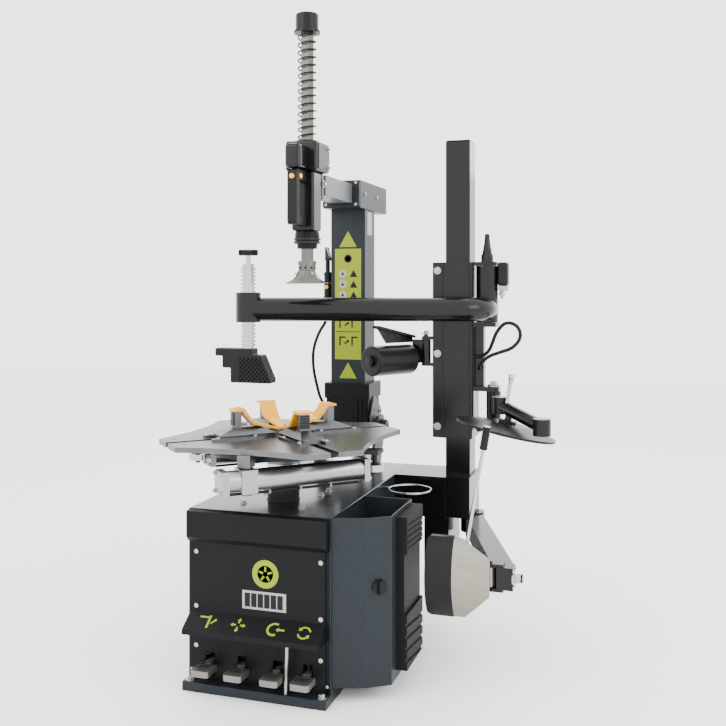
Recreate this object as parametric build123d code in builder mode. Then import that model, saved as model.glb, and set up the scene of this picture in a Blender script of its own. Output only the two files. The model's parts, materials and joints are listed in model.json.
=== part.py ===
from build123d import *

import os
from math import atan2, cos, pi, radians, sin, tan

# Tyre changer with a tilting column and a helper arm.
# Frame: X to the machine's right, Y towards its back, Z up, millimetres.
# The origin is on the floor, at the centre of the four anchor holes.

os.makedirs("parts", exist_ok=True)

# ---- driving dimensions ----
FRONT = -440.0  # front face of the cabinet
REAR = 465.0  # rear face of the cabinet
HALF_WIDTH = 235.0  # half of the cabinet's width
CABINET_TOP = 551.0
RAIL = 28.0  # height of the base frame
ANCHOR = (215.0, 465.0)  # anchor hole places, plus and minus
ANCHOR_HOLE = 7.0  # anchor hole radius
SHEET = 3.0  # cabinet sheet thickness
PEDAL_AXIS = (FRONT + 60, 80.0)  # y, z of the pedal shaft

TABLE_Y = -240.0  # turntable axis
TABLE_TOP = 762.0
TABLE_THICK = 16.0
WING_TIP = 385.0  # radius of the wing tips
WING_HALF = 90.0  # half width of a wing
WAIST = 310.0  # table radius between two wings
SLOT_HALF = 13.0  # half width of the jaw slot
JAW_TRAVEL = 150.0
DISC_TURN = 40.0  # cam disc turn over the jaws' whole travel, degrees
PIN_START = 70.0  # radius of a jaw pin with the jaws closed
PIN_R = 9.0
DISC_R = 242.0
DISC_Z = (715.5, 727.5)
EAR_R = 310.0  # radius of the cam disc's ear pins
RAM_Z = 672.0  # height of the clamp cylinders

COLUMN_HALF = 70.0
COLUMN_Y = (415.0, 540.0)
TILT_AXIS = (470.0, 690.0)  # y, z of the column's tilt pivot
HEAD_Z = (1544.0, 1649.0)
HEAD_Y = (340.0, 690.0)
TOOL_Y = -28.0  # vertical tool axis
HEX = 41.0  # across flats of the tool shaft
SPRING_Z = (1739.5, 2118.0)

POST_X = (415.0, 505.0)  # assist column
POST_Y = (310.0, 410.0)
POST_TOP = 1773.0
CARRIAGE_X = (400.0, 516.0)
CARRIAGE_Y = (295.0, 425.0)
CARRIAGE_Z = (687.0, 1330.0)
SWING_AXIS = (563.0, 340.0)  # upper arm pivot
ELBOW = (562.0, 214.0)  # corner of the upper arm's bend
ROD_AXIS = (-231.0, -11.0)  # presser rod
ARM_Z = 1160.0
ROLLER_HINGE = (340.0, 310.0)
ROLLER_MID = (235.0, 200.0, 975.0)
ROLLER_R = 54.0
ROLLER_HALF = 95.0
DISC_POST = (590.0, 320.0)
DISH_MID = (665.0, 130.0, 756.0)
DISH_R = 170.0
DISH_TILT = 12.5  # degrees, right side down
BEAD_PIVOT = (495.0, 410.0)
BEAD_END = (716.0, -234.0)
BEAD_Z = 363.0
BLADE_PIN_X = 672.0
GAP = 0.5  # gap between pieces that move past each other
RUN = 0.05  # radial clearance of a running fit


# ---- helpers ----
def save(piece, name):
    """Label a finished piece and write it."""
    piece.part.label = name
    export_step(piece.part, f"parts/{name}.step")


def slab(x, y, z, mode=Mode.ADD):
    """A box that fills the ranges x, y and z."""
    with Locations(((x[0] + x[1]) / 2, (y[0] + y[1]) / 2, (z[0] + z[1]) / 2)):
        Box(x[1] - x[0], y[1] - y[0], z[1] - z[0], mode=mode)


def bar(start, end, radius, mode=Mode.ADD):
    """A round bar from start to end."""
    begin = Vector(*start)
    along = Vector(*end) - begin
    with BuildSketch(Plane(origin=begin, z_dir=along)) as section:
        Circle(radius)
    extrude(section.sketch, amount=along.length, mode=mode)


def prism(points, z, mode=Mode.ADD):
    """An upright prism on an outline in plan, between two heights."""
    with BuildSketch(Plane.XY.offset(z[0])) as section:
        with BuildLine():
            Polyline(*points, close=True)
        make_face()
    extrude(section.sketch, amount=z[1] - z[0], mode=mode)


def side_prism(points, x, mode=Mode.ADD):
    """A prism on an outline in the y-z plane, between two x places."""
    with BuildSketch(Plane.YZ.offset(x[0])) as section:
        with BuildLine():
            Polyline(*points, close=True)
        make_face()
    extrude(section.sketch, amount=x[1] - x[0], mode=mode)


def bend_radii(points):
    """The largest arc that each corner of a hose's route allows."""
    radii = []
    for before, corner, after in zip(points, points[1:], points[2:]):
        come = Vector(*corner) - Vector(*before)
        go = Vector(*after) - Vector(*corner)
        half_turn = radians(come.get_angle(go)) / 2
        radii.append(0.45 * min(come.length, go.length) / tan(half_turn))
    return radii


def hose(points, radius, name):
    """A hose along straight runs joined by tangent arcs."""
    radii = bend_radii(points)
    with BuildPart() as tube:
        with BuildLine() as route:
            FilletPolyline(*points, radius=radii)
        start = Vector(*points[0])
        with BuildSketch(Plane(origin=start, z_dir=Vector(*points[1]) - start)):
            Circle(radius)
        sweep(path=route.wires()[0])
    save(tube, name)


# ---- cabinet ----
with BuildPart() as base_frame:
    for side in (-1, 1):
        rail = sorted((side * HALF_WIDTH, side * (HALF_WIDTH - 40)))
        slab(rail, (FRONT - 45, REAR + 22), (0, RAIL))
    with Locations(*[(x * ANCHOR[0], y * ANCHOR[1], RAIL) for x in (-1, 1) for y in (-1, 1)]):
        Hole(ANCHOR_HOLE, RAIL)
    inner = (40 - HALF_WIDTH, HALF_WIDTH - 40)
    with BuildPart(mode=Mode.PRIVATE) as cross_pieces:
        slab(inner, (FRONT - 45, FRONT), (0, RAIL))
        slab(inner, (REAR - 25, REAR + 22), (0, RAIL))
        slab(inner, (FRONT, REAR - 25), (RAIL - 8, RAIL))
    with BuildPart(mode=Mode.PRIVATE) as pedal_shaft:
        bar((-215, *PEDAL_AXIS), (215, *PEDAL_AXIS), 8)
        for side in (-1, 1):
            cheek = sorted((side * 195, side * 215))
            slab(cheek, (PEDAL_AXIS[0] - 20, PEDAL_AXIS[0] + 20), (RAIL, 96))
rails = base_frame.part
base_frame.part = Compound(
    children=[*rails.solids(), *cross_pieces.part.solids(), pedal_shaft.part.solid()]
)
save(base_frame, "base_frame")

walls_z = (RAIL, CABINET_TOP - 8)
with BuildPart() as side_panels:
    for side in (-1, 1):
        wall = sorted((side * HALF_WIDTH, side * (HALF_WIDTH - SHEET)))
        slab(wall, (FRONT, REAR), walls_z)
save(side_panels, "side_panels")

panel_x = (SHEET - HALF_WIDTH, HALF_WIDTH - SHEET)
with BuildPart() as rear_panel:
    slab(panel_x, (REAR - SHEET, REAR), walls_z)
    for level in range(5):
        slab((-150, -40), (REAR - SHEET, REAR), (120 + 22 * level, 127 + 22 * level), Mode.SUBTRACT)
save(rear_panel, "rear_panel")

PEDALS = (-158.0, -50.0, 67.0, 164.0)
with BuildPart() as front_panel:
    slab(panel_x, (FRONT, FRONT + SHEET), walls_z)
    slab((-222, 218), (FRONT - 6, FRONT), (RAIL + 2, 450))
    for place in PEDALS:
        slab((place - 16, place + 16), (FRONT - 6, FRONT + SHEET), (38, 112), Mode.SUBTRACT)
save(front_panel, "front_panel")

with BuildPart() as front_hood:
    side_prism(
        [(FRONT, 549), (FRONT - 22, 546), (FRONT - 22, 466), (FRONT - 8, 451), (FRONT, 451)],
        (-233, 228),
    )
    side_prism(
        [(FRONT, 545), (FRONT - 18, 542), (FRONT - 18, 468), (FRONT - 6, 455), (FRONT, 455)],
        (-229, 224),
        Mode.SUBTRACT,
    )
save(front_hood, "front_hood")

with BuildPart() as pedal_hood:
    outside = [(FRONT - 6.1, 238), (FRONT - 68, 196), (FRONT - 68, 181), (FRONT - 6.1, 181)]
    inside = [(FRONT - 6.1, 234), (FRONT - 65, 194), (FRONT - 65, 180), (FRONT - 6.1, 180)]
    side_prism(outside, (-224, 220))
    side_prism(inside, (-221, 217), Mode.SUBTRACT)
save(pedal_hood, "pedal_hood")

PANEL_SCREWS = [(x, z) for x in (-205, 206) for z in (420, 252, 130)]
PLATE_BOLTS = [(x, TABLE_Y + y) for x in (-100, 100) for y in (-92, 84)] + [(-103, -90), (103, -90)]
with BuildPart() as fasteners:
    with BuildSketch(Plane.XZ.offset(6 - FRONT)):
        with Locations(*PANEL_SCREWS):
            Circle(7)
    extrude(amount=4)
    with BuildSketch(Plane.XY.offset(CABINET_TOP)):
        with Locations(*PLATE_BOLTS):
            Circle(12)
    extrude(amount=2)
    with BuildSketch(Plane.XY.offset(CABINET_TOP + 2)):
        with Locations(*PLATE_BOLTS):
            RegularPolygon(9, 6)
    extrude(amount=7)
save(fasteners, "fasteners")

with BuildPart() as top_plate:
    slab((-HALF_WIDTH, HALF_WIDTH), (FRONT, REAR), (CABINET_TOP - 8, CABINET_TOP))
    with Locations((0, TABLE_Y, CABINET_TOP)):
        Hole(55, 8)
    chamfer(top_plate.faces().sort_by(Axis.Z)[-1].outer_wire().edges(), 2)
save(top_plate, "top_plate")


def side_box_walls(outline, thick, z):
    """Upright walls along an outline, mitred where they meet; the last side stays open."""
    middle = Vector(sum(p[0] for p in outline) / len(outline), sum(p[1] for p in outline) / len(outline))
    lines = []
    for begin, end in zip(outline, outline[1:]):
        along = (Vector(*end) - Vector(*begin)).normalized()
        inward = Vector(-along.Y, along.X)
        if inward.dot(middle - Vector(*begin)) < 0:
            inward = inward * -1
        lines.append((Vector(*begin) + inward * thick, along))
    start, along = lines[0]
    inner = [start + along * ((outline[0][0] - start.X) / along.X)]
    for (p, u), (q, v) in zip(lines, lines[1:]):
        run = ((q.X - p.X) * v.Y - (q.Y - p.Y) * v.X) / (u.X * v.Y - u.Y * v.X)
        inner.append(p + u * run)
    start, along = lines[-1]
    inner.append(start + along * ((outline[-1][0] - start.X) / along.X))
    pieces = []
    for n in range(len(outline) - 1):
        with BuildPart() as wall:
            corners = [outline[n], outline[n + 1], (inner[n + 1].X, inner[n + 1].Y), (inner[n].X, inner[n].Y)]
            prism(corners, z)
        pieces.append(wall.part.solid())
    return pieces, [(p.X, p.Y) for p in inner]


BOX_PLAN = [(235.2, -430), (334, -400), (398, -355), (398, -117), (235.2, -117)]
box_walls, box_inside = side_box_walls(BOX_PLAN, 3.0, (45, CABINET_TOP))
box_floors = []
for level in (45, 474):
    with BuildPart() as shelf:
        prism(box_inside, (level, level + 3))
    box_floors.append(shelf.part.solid())
with BuildPart() as side_box:
    add(box_walls[0])
side_box.part = Compound(children=[*box_walls, *box_floors])
save(side_box, "side_box")

with BuildPart() as wheel_pad:
    slab((398, 424), (-308, -113), (72, 538))
    slab((424, 433), (-308, -113), (425, 538))
    slab((424, 433), (-308, -113), (72, 241))
    for step in range(4):
        low = 96 + 36 * step
        side_prism([(-308, low), (-113, low - 24), (-113, low - 12), (-308, low + 12)], (428, 434), Mode.SUBTRACT)
    for step in range(5):
        low = 440 + 18 * step
        side_prism([(-308, low), (-113, low - 12), (-113, low - 7), (-308, low + 5)], (430, 434), Mode.SUBTRACT)
save(wheel_pad, "wheel_pad")

HUB_BORE = 35.0
with BuildPart() as gearbox:
    slab((-92, 92), (TABLE_Y - 92, TABLE_Y + 92), (440, CABINET_TOP - 8))
    bar((0, TABLE_Y, CABINET_TOP - 8), (0, TABLE_Y, 598), 52)
    bar((0, TABLE_Y, 440), (0, TABLE_Y, 598), HUB_BORE + RUN, Mode.SUBTRACT)
    bar((0, TABLE_Y + 92, 490), (0, TABLE_Y + 130, 490), 14)
save(gearbox, "gearbox")

with BuildPart() as drive_motor:
    bar((-60, -20, 300), (120, -20, 300), 68)
    bar((120, -20, 300), (165, -20, 300), 12)
    slab((-50, 110), (-70, 30), (RAIL, 234))
save(drive_motor, "drive_motor")

with BuildPart() as column_bracket:
    for side in (-1, 1):
        cheek = sorted((side * 108, side * 120))
        side_prism(
            [(350, CABINET_TOP), (REAR, CABINET_TOP), (515, 665), (515, 715), (495, 735), (440, 735), (420, 700)],
            cheek,
        )
    slab((-108, 108), (350, 380), (CABINET_TOP, CABINET_TOP + 12))
    bar((-130, *TILT_AXIS), (130, *TILT_AXIS), 16)
    for side in (-1, 1):
        bar((side * 120, *TILT_AXIS), (side * 136, *TILT_AXIS), 30)
save(column_bracket, "column_bracket")

RAM_Y = 582.0  # tilt cylinder's axis, behind the cabinet
with BuildPart() as tilt_barrel:
    bar((0, RAM_Y, 120), (0, RAM_Y, 560), 40)
    slab((-30, 30), (REAR, RAM_Y - 30), (130, 190))
    slab((-30, 30), (REAR, RAM_Y - 30), (480, 540))
    bar((0, RAM_Y, 140), (0, RAM_Y, 560), 32, Mode.SUBTRACT)
save(tilt_barrel, "tilt_barrel")

with BuildPart() as assist_beam:
    slab((235.2, 425), (255, REAR), (404, CABINET_TOP))
    slab((425, 512), (265, 455), (404, CABINET_TOP))
    slab((345, 436), (262, 458), (236, 404))
    bar((*BEAD_PIVOT, 316), (*BEAD_PIVOT, 404), 15)
    bar((*BEAD_PIVOT, 306), (*BEAD_PIVOT, 317), 26)
save(assist_beam, "assist_beam")

with BuildPart() as assist_column:
    slab(POST_X, POST_Y, (CABINET_TOP, POST_TOP))
    slab((POST_X[0] + 5, POST_X[1] - 5), (POST_Y[0] + 5, POST_Y[1] - 5), (CABINET_TOP, POST_TOP - 6),
         Mode.SUBTRACT)
save(assist_column, "assist_column")

RING = (330.0, 118.0, 530.0)
with BuildPart() as bucket_ring:
    with BuildSketch(Plane(origin=(RING[0] + 74, RING[1], RING[2]), z_dir=(0, 1, 0))):
        Circle(3)
    revolve(axis=Axis((RING[0], RING[1], RING[2]), (0, 0, 1)))
    slab((235.2, 258), (RING[1] - 8, RING[1] + 8), (RING[2] - 3, RING[2] + 3))
save(bucket_ring, "bucket_ring")

# ---- turntable ----
WING_ANGLES = (45, 135, 225, 315)


def polar(radius, angle, across=0.0):
    """A point in plan at a radius along a direction, moved across it, from the table axis."""
    a = radians(angle)
    return (radius * cos(a) - across * sin(a), TABLE_Y + radius * sin(a) + across * cos(a))


with BuildPart() as table_plate:
    with BuildSketch(Plane.XY.offset(TABLE_TOP - TABLE_THICK)):
        with BuildLine():
            for angle in WING_ANGLES:
                Line(polar(WING_TIP, angle, -WING_HALF), polar(WING_TIP, angle, WING_HALF))
                ThreePointArc(
                    polar(WING_TIP, angle, WING_HALF),
                    polar(WAIST, angle + 45),
                    polar(WING_TIP, angle + 90, -WING_HALF),
                )
        make_face()
        for angle in WING_ANGLES:
            with Locations(Location((*polar(225, angle), 0), (0, 0, angle))):
                Rectangle(340, 2 * SLOT_HALF, mode=Mode.SUBTRACT)
        with Locations(*[polar(345, angle, side * 55) for angle in WING_ANGLES for side in (-1, 1)]):
            Circle(6, mode=Mode.SUBTRACT)
        with Locations((0, TABLE_Y)):
            Circle(38 + RUN, mode=Mode.SUBTRACT)
    extrude(amount=TABLE_THICK)
    with BuildSketch(Plane.XY.offset(TABLE_TOP)):
        for angle in WING_ANGLES:
            for side in (-1, 1):
                with Locations(Location((*polar(170, angle, side * 43), 0), (0, 0, angle))):
                    Rectangle(170, 20)
    extrude(amount=8)
save(table_plate, "table_plate")

with BuildPart() as table_hub:
    bar((0, TABLE_Y, 452), (0, TABLE_Y, 600), HUB_BORE)
    bar((0, TABLE_Y, 600), (0, TABLE_Y, 703), 52)
    bar((0, TABLE_Y, 703), (0, TABLE_Y, 715), 78)
    bar((0, TABLE_Y, 715), (0, TABLE_Y, TABLE_TOP), 38)
BRACKET_Z = 711.0  # underside of the brackets that hang the clamp cylinders
brackets = []
for angle in (271.5, 91.5):
    spot = polar(304, angle)
    facing = Plane(origin=(*spot, 0), x_dir=(cos(radians(angle)), sin(radians(angle)), 0))
    with BuildPart() as pivot_bracket:
        with BuildSketch(facing.offset(BRACKET_Z)):
            Rectangle(40, 40)
        extrude(amount=TABLE_TOP - TABLE_THICK - BRACKET_Z)
        bar((*spot, 630), (*spot, BRACKET_Z), 7)
        bar((*spot, 627), (*spot, 636), 14)
    brackets.append(pivot_bracket.part.solid())
table_hub.part = Compound(children=[*table_hub.part.solids(), *brackets])
save(table_hub, "table_hub")


def spiral(angle, inward, steps=10):
    """Points along one side of a cam slot that starts at angle and winds outwards as the disc turns."""
    points = []
    for n in range(steps + 1):
        share = n / steps
        radius = PIN_START + JAW_TRAVEL * share
        turn = angle - DISC_TURN * share
        slope = atan2(-radians(DISC_TURN) * radius, JAW_TRAVEL)
        across = radians(turn) + slope + pi / 2
        x, y = polar(radius, turn)
        points.append((x + inward * (PIN_R + 1.2) * cos(across), y + inward * (PIN_R + 1.2) * sin(across)))
    return points


with BuildPart() as cam_disc:
    with BuildSketch(Plane.XY.offset(DISC_Z[0])):
        with Locations((0, TABLE_Y)):
            Circle(DISC_R)
        for angle in (0, 180):
            with Locations(Location((*polar(270, angle), 0), (0, 0, angle))):
                Rectangle(120, 60)
        with Locations((0, TABLE_Y)):
            Circle(38 + RUN, mode=Mode.SUBTRACT)
        for angle in WING_ANGLES:
            one = spiral(angle, 1)
            other = spiral(angle, -1)
            with BuildLine():
                near = Spline(*one)
                far = Spline(*reversed(other))
                Line(near @ 1, far @ 0)
                Line(far @ 1, near @ 0)
            make_face(mode=Mode.SUBTRACT)
            ends = (polar(PIN_START, angle), polar(PIN_START + JAW_TRAVEL, angle - DISC_TURN))
            with Locations(*ends):
                Circle(PIN_R + 1.2, mode=Mode.SUBTRACT)
    extrude(amount=DISC_Z[1] - DISC_Z[0])
    for angle in (0, 180):
        bar((*polar(EAR_R, angle), 652), (*polar(EAR_R, angle), DISC_Z[0]), 8)
save(cam_disc, "cam_disc")


WEDGE_Z = (776.0, 796.0)  # foot and ridge of the wedge on a jaw slide
JAW_TOP = 846.0  # top of a jaw's clamping post


def jaw(angle, name):
    """A jaw: a slide that runs in the table's slot, with a wedge, a clamping post and a sloping cover."""
    a = radians(angle)
    outward = Plane(origin=(0, TABLE_Y, 0), x_dir=(cos(a), sin(a), 0), z_dir=(sin(a), -cos(a), 0))
    plan = Plane(origin=(0, TABLE_Y, 0), x_dir=(cos(a), sin(a), 0), z_dir=(0, 0, 1))
    with BuildPart() as slide:
        with BuildSketch(plan.offset(731)):
            with Locations((108, 0)):
                Rectangle(104, 52)
        extrude(amount=14.5)
        with BuildSketch(plan.offset(745.5)):
            with Locations((108, 0)):
                Rectangle(104, 2 * SLOT_HALF - 1)
        extrude(amount=17)
        with BuildSketch(plan.offset(TABLE_TOP + 0.5)):
            with Locations((135, 0)):
                Rectangle(186, 58)
        extrude(amount=14)
        with BuildSketch(plan.offset(WEDGE_Z[0])):
            with Locations((135, 0)):
                Rectangle(186, 76)
        with BuildSketch(plan.offset(WEDGE_Z[1])):
            with Locations((132, 0)):
                Rectangle(84, 28)
        loft()
        with BuildSketch(plan.offset(WEDGE_Z[1] - 2)):
            with Locations((161, 0)):
                Rectangle(22, 34)
        extrude(amount=JAW_TOP - WEDGE_Z[1] + 2)
        with BuildSketch(plan.offset(717)):
            with Locations((PIN_START, 0)):
                Circle(PIN_R)
        extrude(amount=14)
    with BuildPart() as cover:
        with BuildSketch(outward.offset(-30)):
            with BuildLine():
                Polyline((15, 784), (108, 811), (132, 840), (142, 856), (178, 853), (178, JAW_TOP + 0.3),
                         (149.6, JAW_TOP + 0.3), (141, 834), (115, 803.5), (15, 777.2), close=True)
            make_face()
        extrude(amount=60)
        with BuildSketch(plan.offset(770)):
            with BuildLine():
                Polyline((14, -9), (60, -19), (112, -27), (180, -27), (180, 27), (112, 27), (60, 19), (14, 9),
                         close=True)
            make_face()
        extrude(amount=100, mode=Mode.INTERSECT)
    with BuildPart() as whole:
        add(slide.part)
    whole.part = Compound(children=[*slide.part.solids(), *cover.part.solids()])
    save(whole, name)


for number, angle in enumerate(WING_ANGLES, 1):
    jaw(angle, f"jaw_{number}")

BARREL_ENDS = (-85.0, 394.0)  # along a clamp cylinder, from its swivel block's pin
BARREL_CAP = 68.0  # width of a clamp cylinder's square caps and swivel block


def clamp_ram(turn, number):
    """A clamp cylinder: a tube with square caps and a swivel block, and its rod with an eye."""
    pivot = polar(304, 271.5 + turn)
    target = polar(EAR_R, turn)
    along = Vector(target[0] - pivot[0], target[1] - pivot[1], 0)
    reach = along.length
    line = Plane(origin=(*pivot, RAM_Z), x_dir=along, z_dir=(0, 0, 1))
    across = Plane(origin=(*pivot, RAM_Z), z_dir=along)
    with BuildPart() as barrel:
        with BuildSketch(across.offset(BARREL_ENDS[0])):
            Circle(32)
        extrude(amount=BARREL_ENDS[1] - BARREL_ENDS[0])
        for start, thick in ((BARREL_ENDS[0], 22), (-24, 48), (BARREL_ENDS[1] - 18, 18)):
            with BuildSketch(across.offset(start)):
                Rectangle(BARREL_CAP, BARREL_CAP)
            extrude(amount=thick)
        with BuildSketch(line.offset(-BARREL_CAP / 2)):
            Circle(7 + RUN)
        extrude(amount=BARREL_CAP, mode=Mode.SUBTRACT)
        with BuildSketch(across.offset(90)):
            Circle(10.5)
        extrude(amount=BARREL_ENDS[1] - 90, mode=Mode.SUBTRACT)
    save(barrel, f"clamp_barrel_{number}")
    with BuildPart() as rod:
        with BuildSketch(across.offset(110)):
            Circle(10)
        extrude(amount=reach - 20 - 110)
        with BuildSketch(line.offset(-10)):
            with Locations((reach, 0)):
                Circle(30)
        extrude(amount=20)
        with BuildSketch(line.offset(-10)):
            with Locations((reach, 0)):
                Circle(21)
        extrude(amount=20, mode=Mode.SUBTRACT)
    save(rod, f"clamp_rod_{number}")


clamp_ram(0, 1)
clamp_ram(180, 2)

# ---- column ----
with BuildPart() as column_foot:
    slab((-86, 86), (405, 550), (640, 804))
    slab((-92, 92), (399, 556), (804, 863))
    slab((-COLUMN_HALF, COLUMN_HALF), COLUMN_Y, (655, 863), Mode.SUBTRACT)
    bar((-86, *TILT_AXIS), (86, *TILT_AXIS), 30)
    for side in (-1, 1):
        bar((side * 86, *TILT_AXIS), (side * 107.5, *TILT_AXIS), 30)
    bar((-107.5, *TILT_AXIS), (107.5, *TILT_AXIS), 16 + RUN, Mode.SUBTRACT)
    for side in (-1, 1):
        ear = sorted((side * 14, side * 24))
        slab(ear, (550, RAM_Y + 20), (664, 715))
    bar((-24, RAM_Y, 690), (24, RAM_Y, 690), 6)
save(column_foot, "column_foot")

with BuildPart() as column_tube:
    slab((-COLUMN_HALF, COLUMN_HALF), COLUMN_Y, (725, HEAD_Z[0]))
    slab((5 - COLUMN_HALF, COLUMN_HALF - 5), (COLUMN_Y[0] + 5, COLUMN_Y[1] - 5), (725, HEAD_Z[0]), Mode.SUBTRACT)
save(column_tube, "column_tube")

with BuildPart() as tilt_rod:
    bar((0, RAM_Y, 200), (0, RAM_Y, 668), 14)
    slab((-13, 13), (RAM_Y - 22, RAM_Y + 22), (664, 714))
    bar((-13, RAM_Y - 4, 690), (13, RAM_Y - 4, 690), 17, Mode.SUBTRACT)
save(tilt_rod, "tilt_rod")

ARM_HALF = 45.0
ARM_RANGE = (1561.0, 1633.0)
plates = []
for x, z in (
    ((-75, 75), (HEAD_Z[0], 1560)),
    ((-75, 75), (1634, HEAD_Z[1])),
    ((-75, -46), (1560, 1634)),
    ((46, 75), (1560, 1634)),
):
    with BuildPart() as plate:
        slab(x, HEAD_Y, z)
    plates.append(plate.part.solid())
with BuildPart() as plate:
    slab((-75, 75), (HEAD_Y[1], HEAD_Y[1] + 4), HEAD_Z)
with BuildPart() as head_shell:
    add(plates[0])
head_shell.part = Compound(children=[*plates, plate.part.solid()])
save(head_shell, "head_shell")

with BuildPart() as slide_arm:
    slab((-ARM_HALF, ARM_HALF), (TOOL_Y + 65, 640), ARM_RANGE)
    slab((-38, 38), (TOOL_Y + 72, 630), (1568, 1626), Mode.SUBTRACT)
save(slide_arm, "slide_arm")

TOOL_BORE = 24.4
with BuildPart() as tool_head_body:
    slab((-48, 48), (TOOL_Y - 50, TOOL_Y + 65), (1420, 1636))
    bar((0, TOOL_Y, 1388), (0, TOOL_Y, 1420), 44)
    bar((0, TOOL_Y, 1372), (0, TOOL_Y, 1388), 36)
    slab((-58, 58), (TOOL_Y - 62, TOOL_Y + 65), (1636, 1739))
    fillet(tool_head_body.edges().filter_by(Axis.Z).sort_by(Axis.Y)[:2], 14)
    slab((-28, 28), (TOOL_Y - 144, TOOL_Y - 50), (1636, 1720))
    fillet(tool_head_body.edges().filter_by(Axis.Z).sort_by(Axis.Y)[:2], 22)
    side_prism([(TOOL_Y + 65, 1470), (TOOL_Y + 65, 1560), (TOOL_Y + 150, 1560)], (-8, 8))
    bar((0, TOOL_Y, 1372), (0, TOOL_Y, 1739), TOOL_BORE, Mode.SUBTRACT)
save(tool_head_body, "tool_head_body")

GRIP_FRONT = TOOL_Y - 140
GRIP_Z = (1449.0, 1634.0)
with BuildPart() as operator_grip:
    slab((-17, 17), (GRIP_FRONT, TOOL_Y - 50.2), (GRIP_Z[1] - 34, GRIP_Z[1]))
    slab((-17, 17), (GRIP_FRONT, GRIP_FRONT + 28), GRIP_Z)
    slab((-17, 17), (GRIP_FRONT, TOOL_Y - 50.2), (GRIP_Z[0], GRIP_Z[0] + 27))
    fillet(operator_grip.edges().filter_by(Axis.X).group_by(Axis.Y)[0], 12)
    bar((0, GRIP_FRONT - 1, 1609), (0, GRIP_FRONT + 10, 1609), 9, Mode.SUBTRACT)
    bar((8, GRIP_FRONT + 30, 1612), (18, GRIP_FRONT + 30, 1612), 9, Mode.SUBTRACT)
save(operator_grip, "operator_grip")

with BuildPart() as lock_button:
    bar((0, GRIP_FRONT - 5.5, 1609), (0, GRIP_FRONT + 5.5, 1609), 8.5)
    fillet(lock_button.edges().sort_by(Axis.Y)[0], 2)
save(lock_button, "lock_button")

with BuildPart() as release_button:
    bar((12.5, GRIP_FRONT + 30, 1612), (22.5, GRIP_FRONT + 30, 1612), 8.5)
    fillet(release_button.edges().sort_by(Axis.X)[-1], 2)
save(release_button, "release_button")

with BuildPart() as hex_shaft:
    with BuildSketch(Plane((0, TOOL_Y, 1317))):
        RegularPolygon(HEX / 2, 6, major_radius=False)
    extrude(amount=SPRING_Z[1] - 1317)
    bar((0, TOOL_Y, 1317), (0, TOOL_Y, 1329), 32)
with BuildPart() as shaft_cap:
    bar((0, TOOL_Y, SPRING_Z[1]), (0, TOOL_Y, SPRING_Z[1] + 8), 46)
    bar((0, TOOL_Y, SPRING_Z[1] + 8), (0, TOOL_Y, SPRING_Z[1] + 67), 40)
    fillet(shaft_cap.edges().sort_by(Axis.Z)[-1], 6)
hex_shaft.part = Compound(children=[hex_shaft.part.solid(), shaft_cap.part.solid()])
save(hex_shaft, "hex_shaft")

COILS = 14
with BuildPart() as return_spring:
    with BuildLine() as coil:
        Helix(
            pitch=(SPRING_Z[1] - SPRING_Z[0] - 6.4) / COILS,
            height=SPRING_Z[1] - SPRING_Z[0] - 6.4,
            radius=31,
            center=(0, TOOL_Y, SPRING_Z[0] + 3.0),
        )
    with BuildSketch(Plane(origin=coil.line @ 0, z_dir=coil.line % 0)):
        Circle(2.6)
    sweep(path=coil.line, is_frenet=True)
save(return_spring, "return_spring")

with BuildPart() as mount_head:
    bar((0, TOOL_Y, 1295), (0, TOOL_Y, 1317), 30)
    with BuildSketch(Plane.XY.offset(1251)):
        with Locations((0, TOOL_Y - 8)):
            SlotOverall(156, 52)
    with BuildSketch(Plane.XY.offset(1270)):
        with Locations((0, TOOL_Y - 5)):
            SlotOverall(118, 54)
    with BuildSketch(Plane.XY.offset(1295)):
        with Locations((0, TOOL_Y)):
            SlotOverall(72, 56)
    loft()
save(mount_head, "mount_head")

GUN_X = -95.0
with BuildPart() as air_gun:
    slab((-100, -COLUMN_HALF), (425, 465), (1345, 1353))
    slab((-100, -96), (425, 465), (1353, 1398))
    bar((GUN_X, 445, 1160), (GUN_X, 445, 1300), 15)
    bar((GUN_X, 445, 1300), (GUN_X, 445, 1344.9), 9)
    slab((-84, -COLUMN_HALF), (433, 457), (1250, 1262))
    bar((GUN_X, 445, 1150), (GUN_X, 445, 1160), 10)
    bar((GUN_X, 445 - 20, 1240), (GUN_X, 445, 1240), 8.5, Mode.SUBTRACT)
save(air_gun, "air_gun")

with BuildPart() as gun_button:
    bar((GUN_X, 445 - 21, 1240), (GUN_X, 445 - 5, 1240), 8)
    fillet(gun_button.edges().sort_by(Axis.Y)[0], 2)
save(gun_button, "gun_button")

AIR_HOSE = [
    (GUN_X, 445, 1150),
    (-97, 443, 1108),
    (-128, 433, 1062),
    (-151, 425, 990),
    (-149, 424, 915),
    (-136, 430, 850),
    (-127, 437, 806),
    (-114, 441, 779),
    (-99, 442, 770),
    (-86, 442, 770),
]
hose(AIR_HOSE, 6.0, "air_hose")

# ---- pedals ----
for number, place in enumerate(PEDALS, 1):
    with BuildPart() as pedal:
        bar((place - 14, *PEDAL_AXIS), (place + 14, *PEDAL_AXIS), 15)
        slab((place - 10, place + 10), (FRONT - 22, PEDAL_AXIS[0]), (72, 88))
        slab((place - 30, place + 30), (FRONT - 85, FRONT - 22), (64, 82))
        fillet(pedal.edges().filter_by(Axis.Z).sort_by(Axis.Y)[:2], 10)
        bar((place - 14, *PEDAL_AXIS), (place + 14, *PEDAL_AXIS), 8 + RUN, Mode.SUBTRACT)
    save(pedal, f"pedal_{number}")

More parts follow.
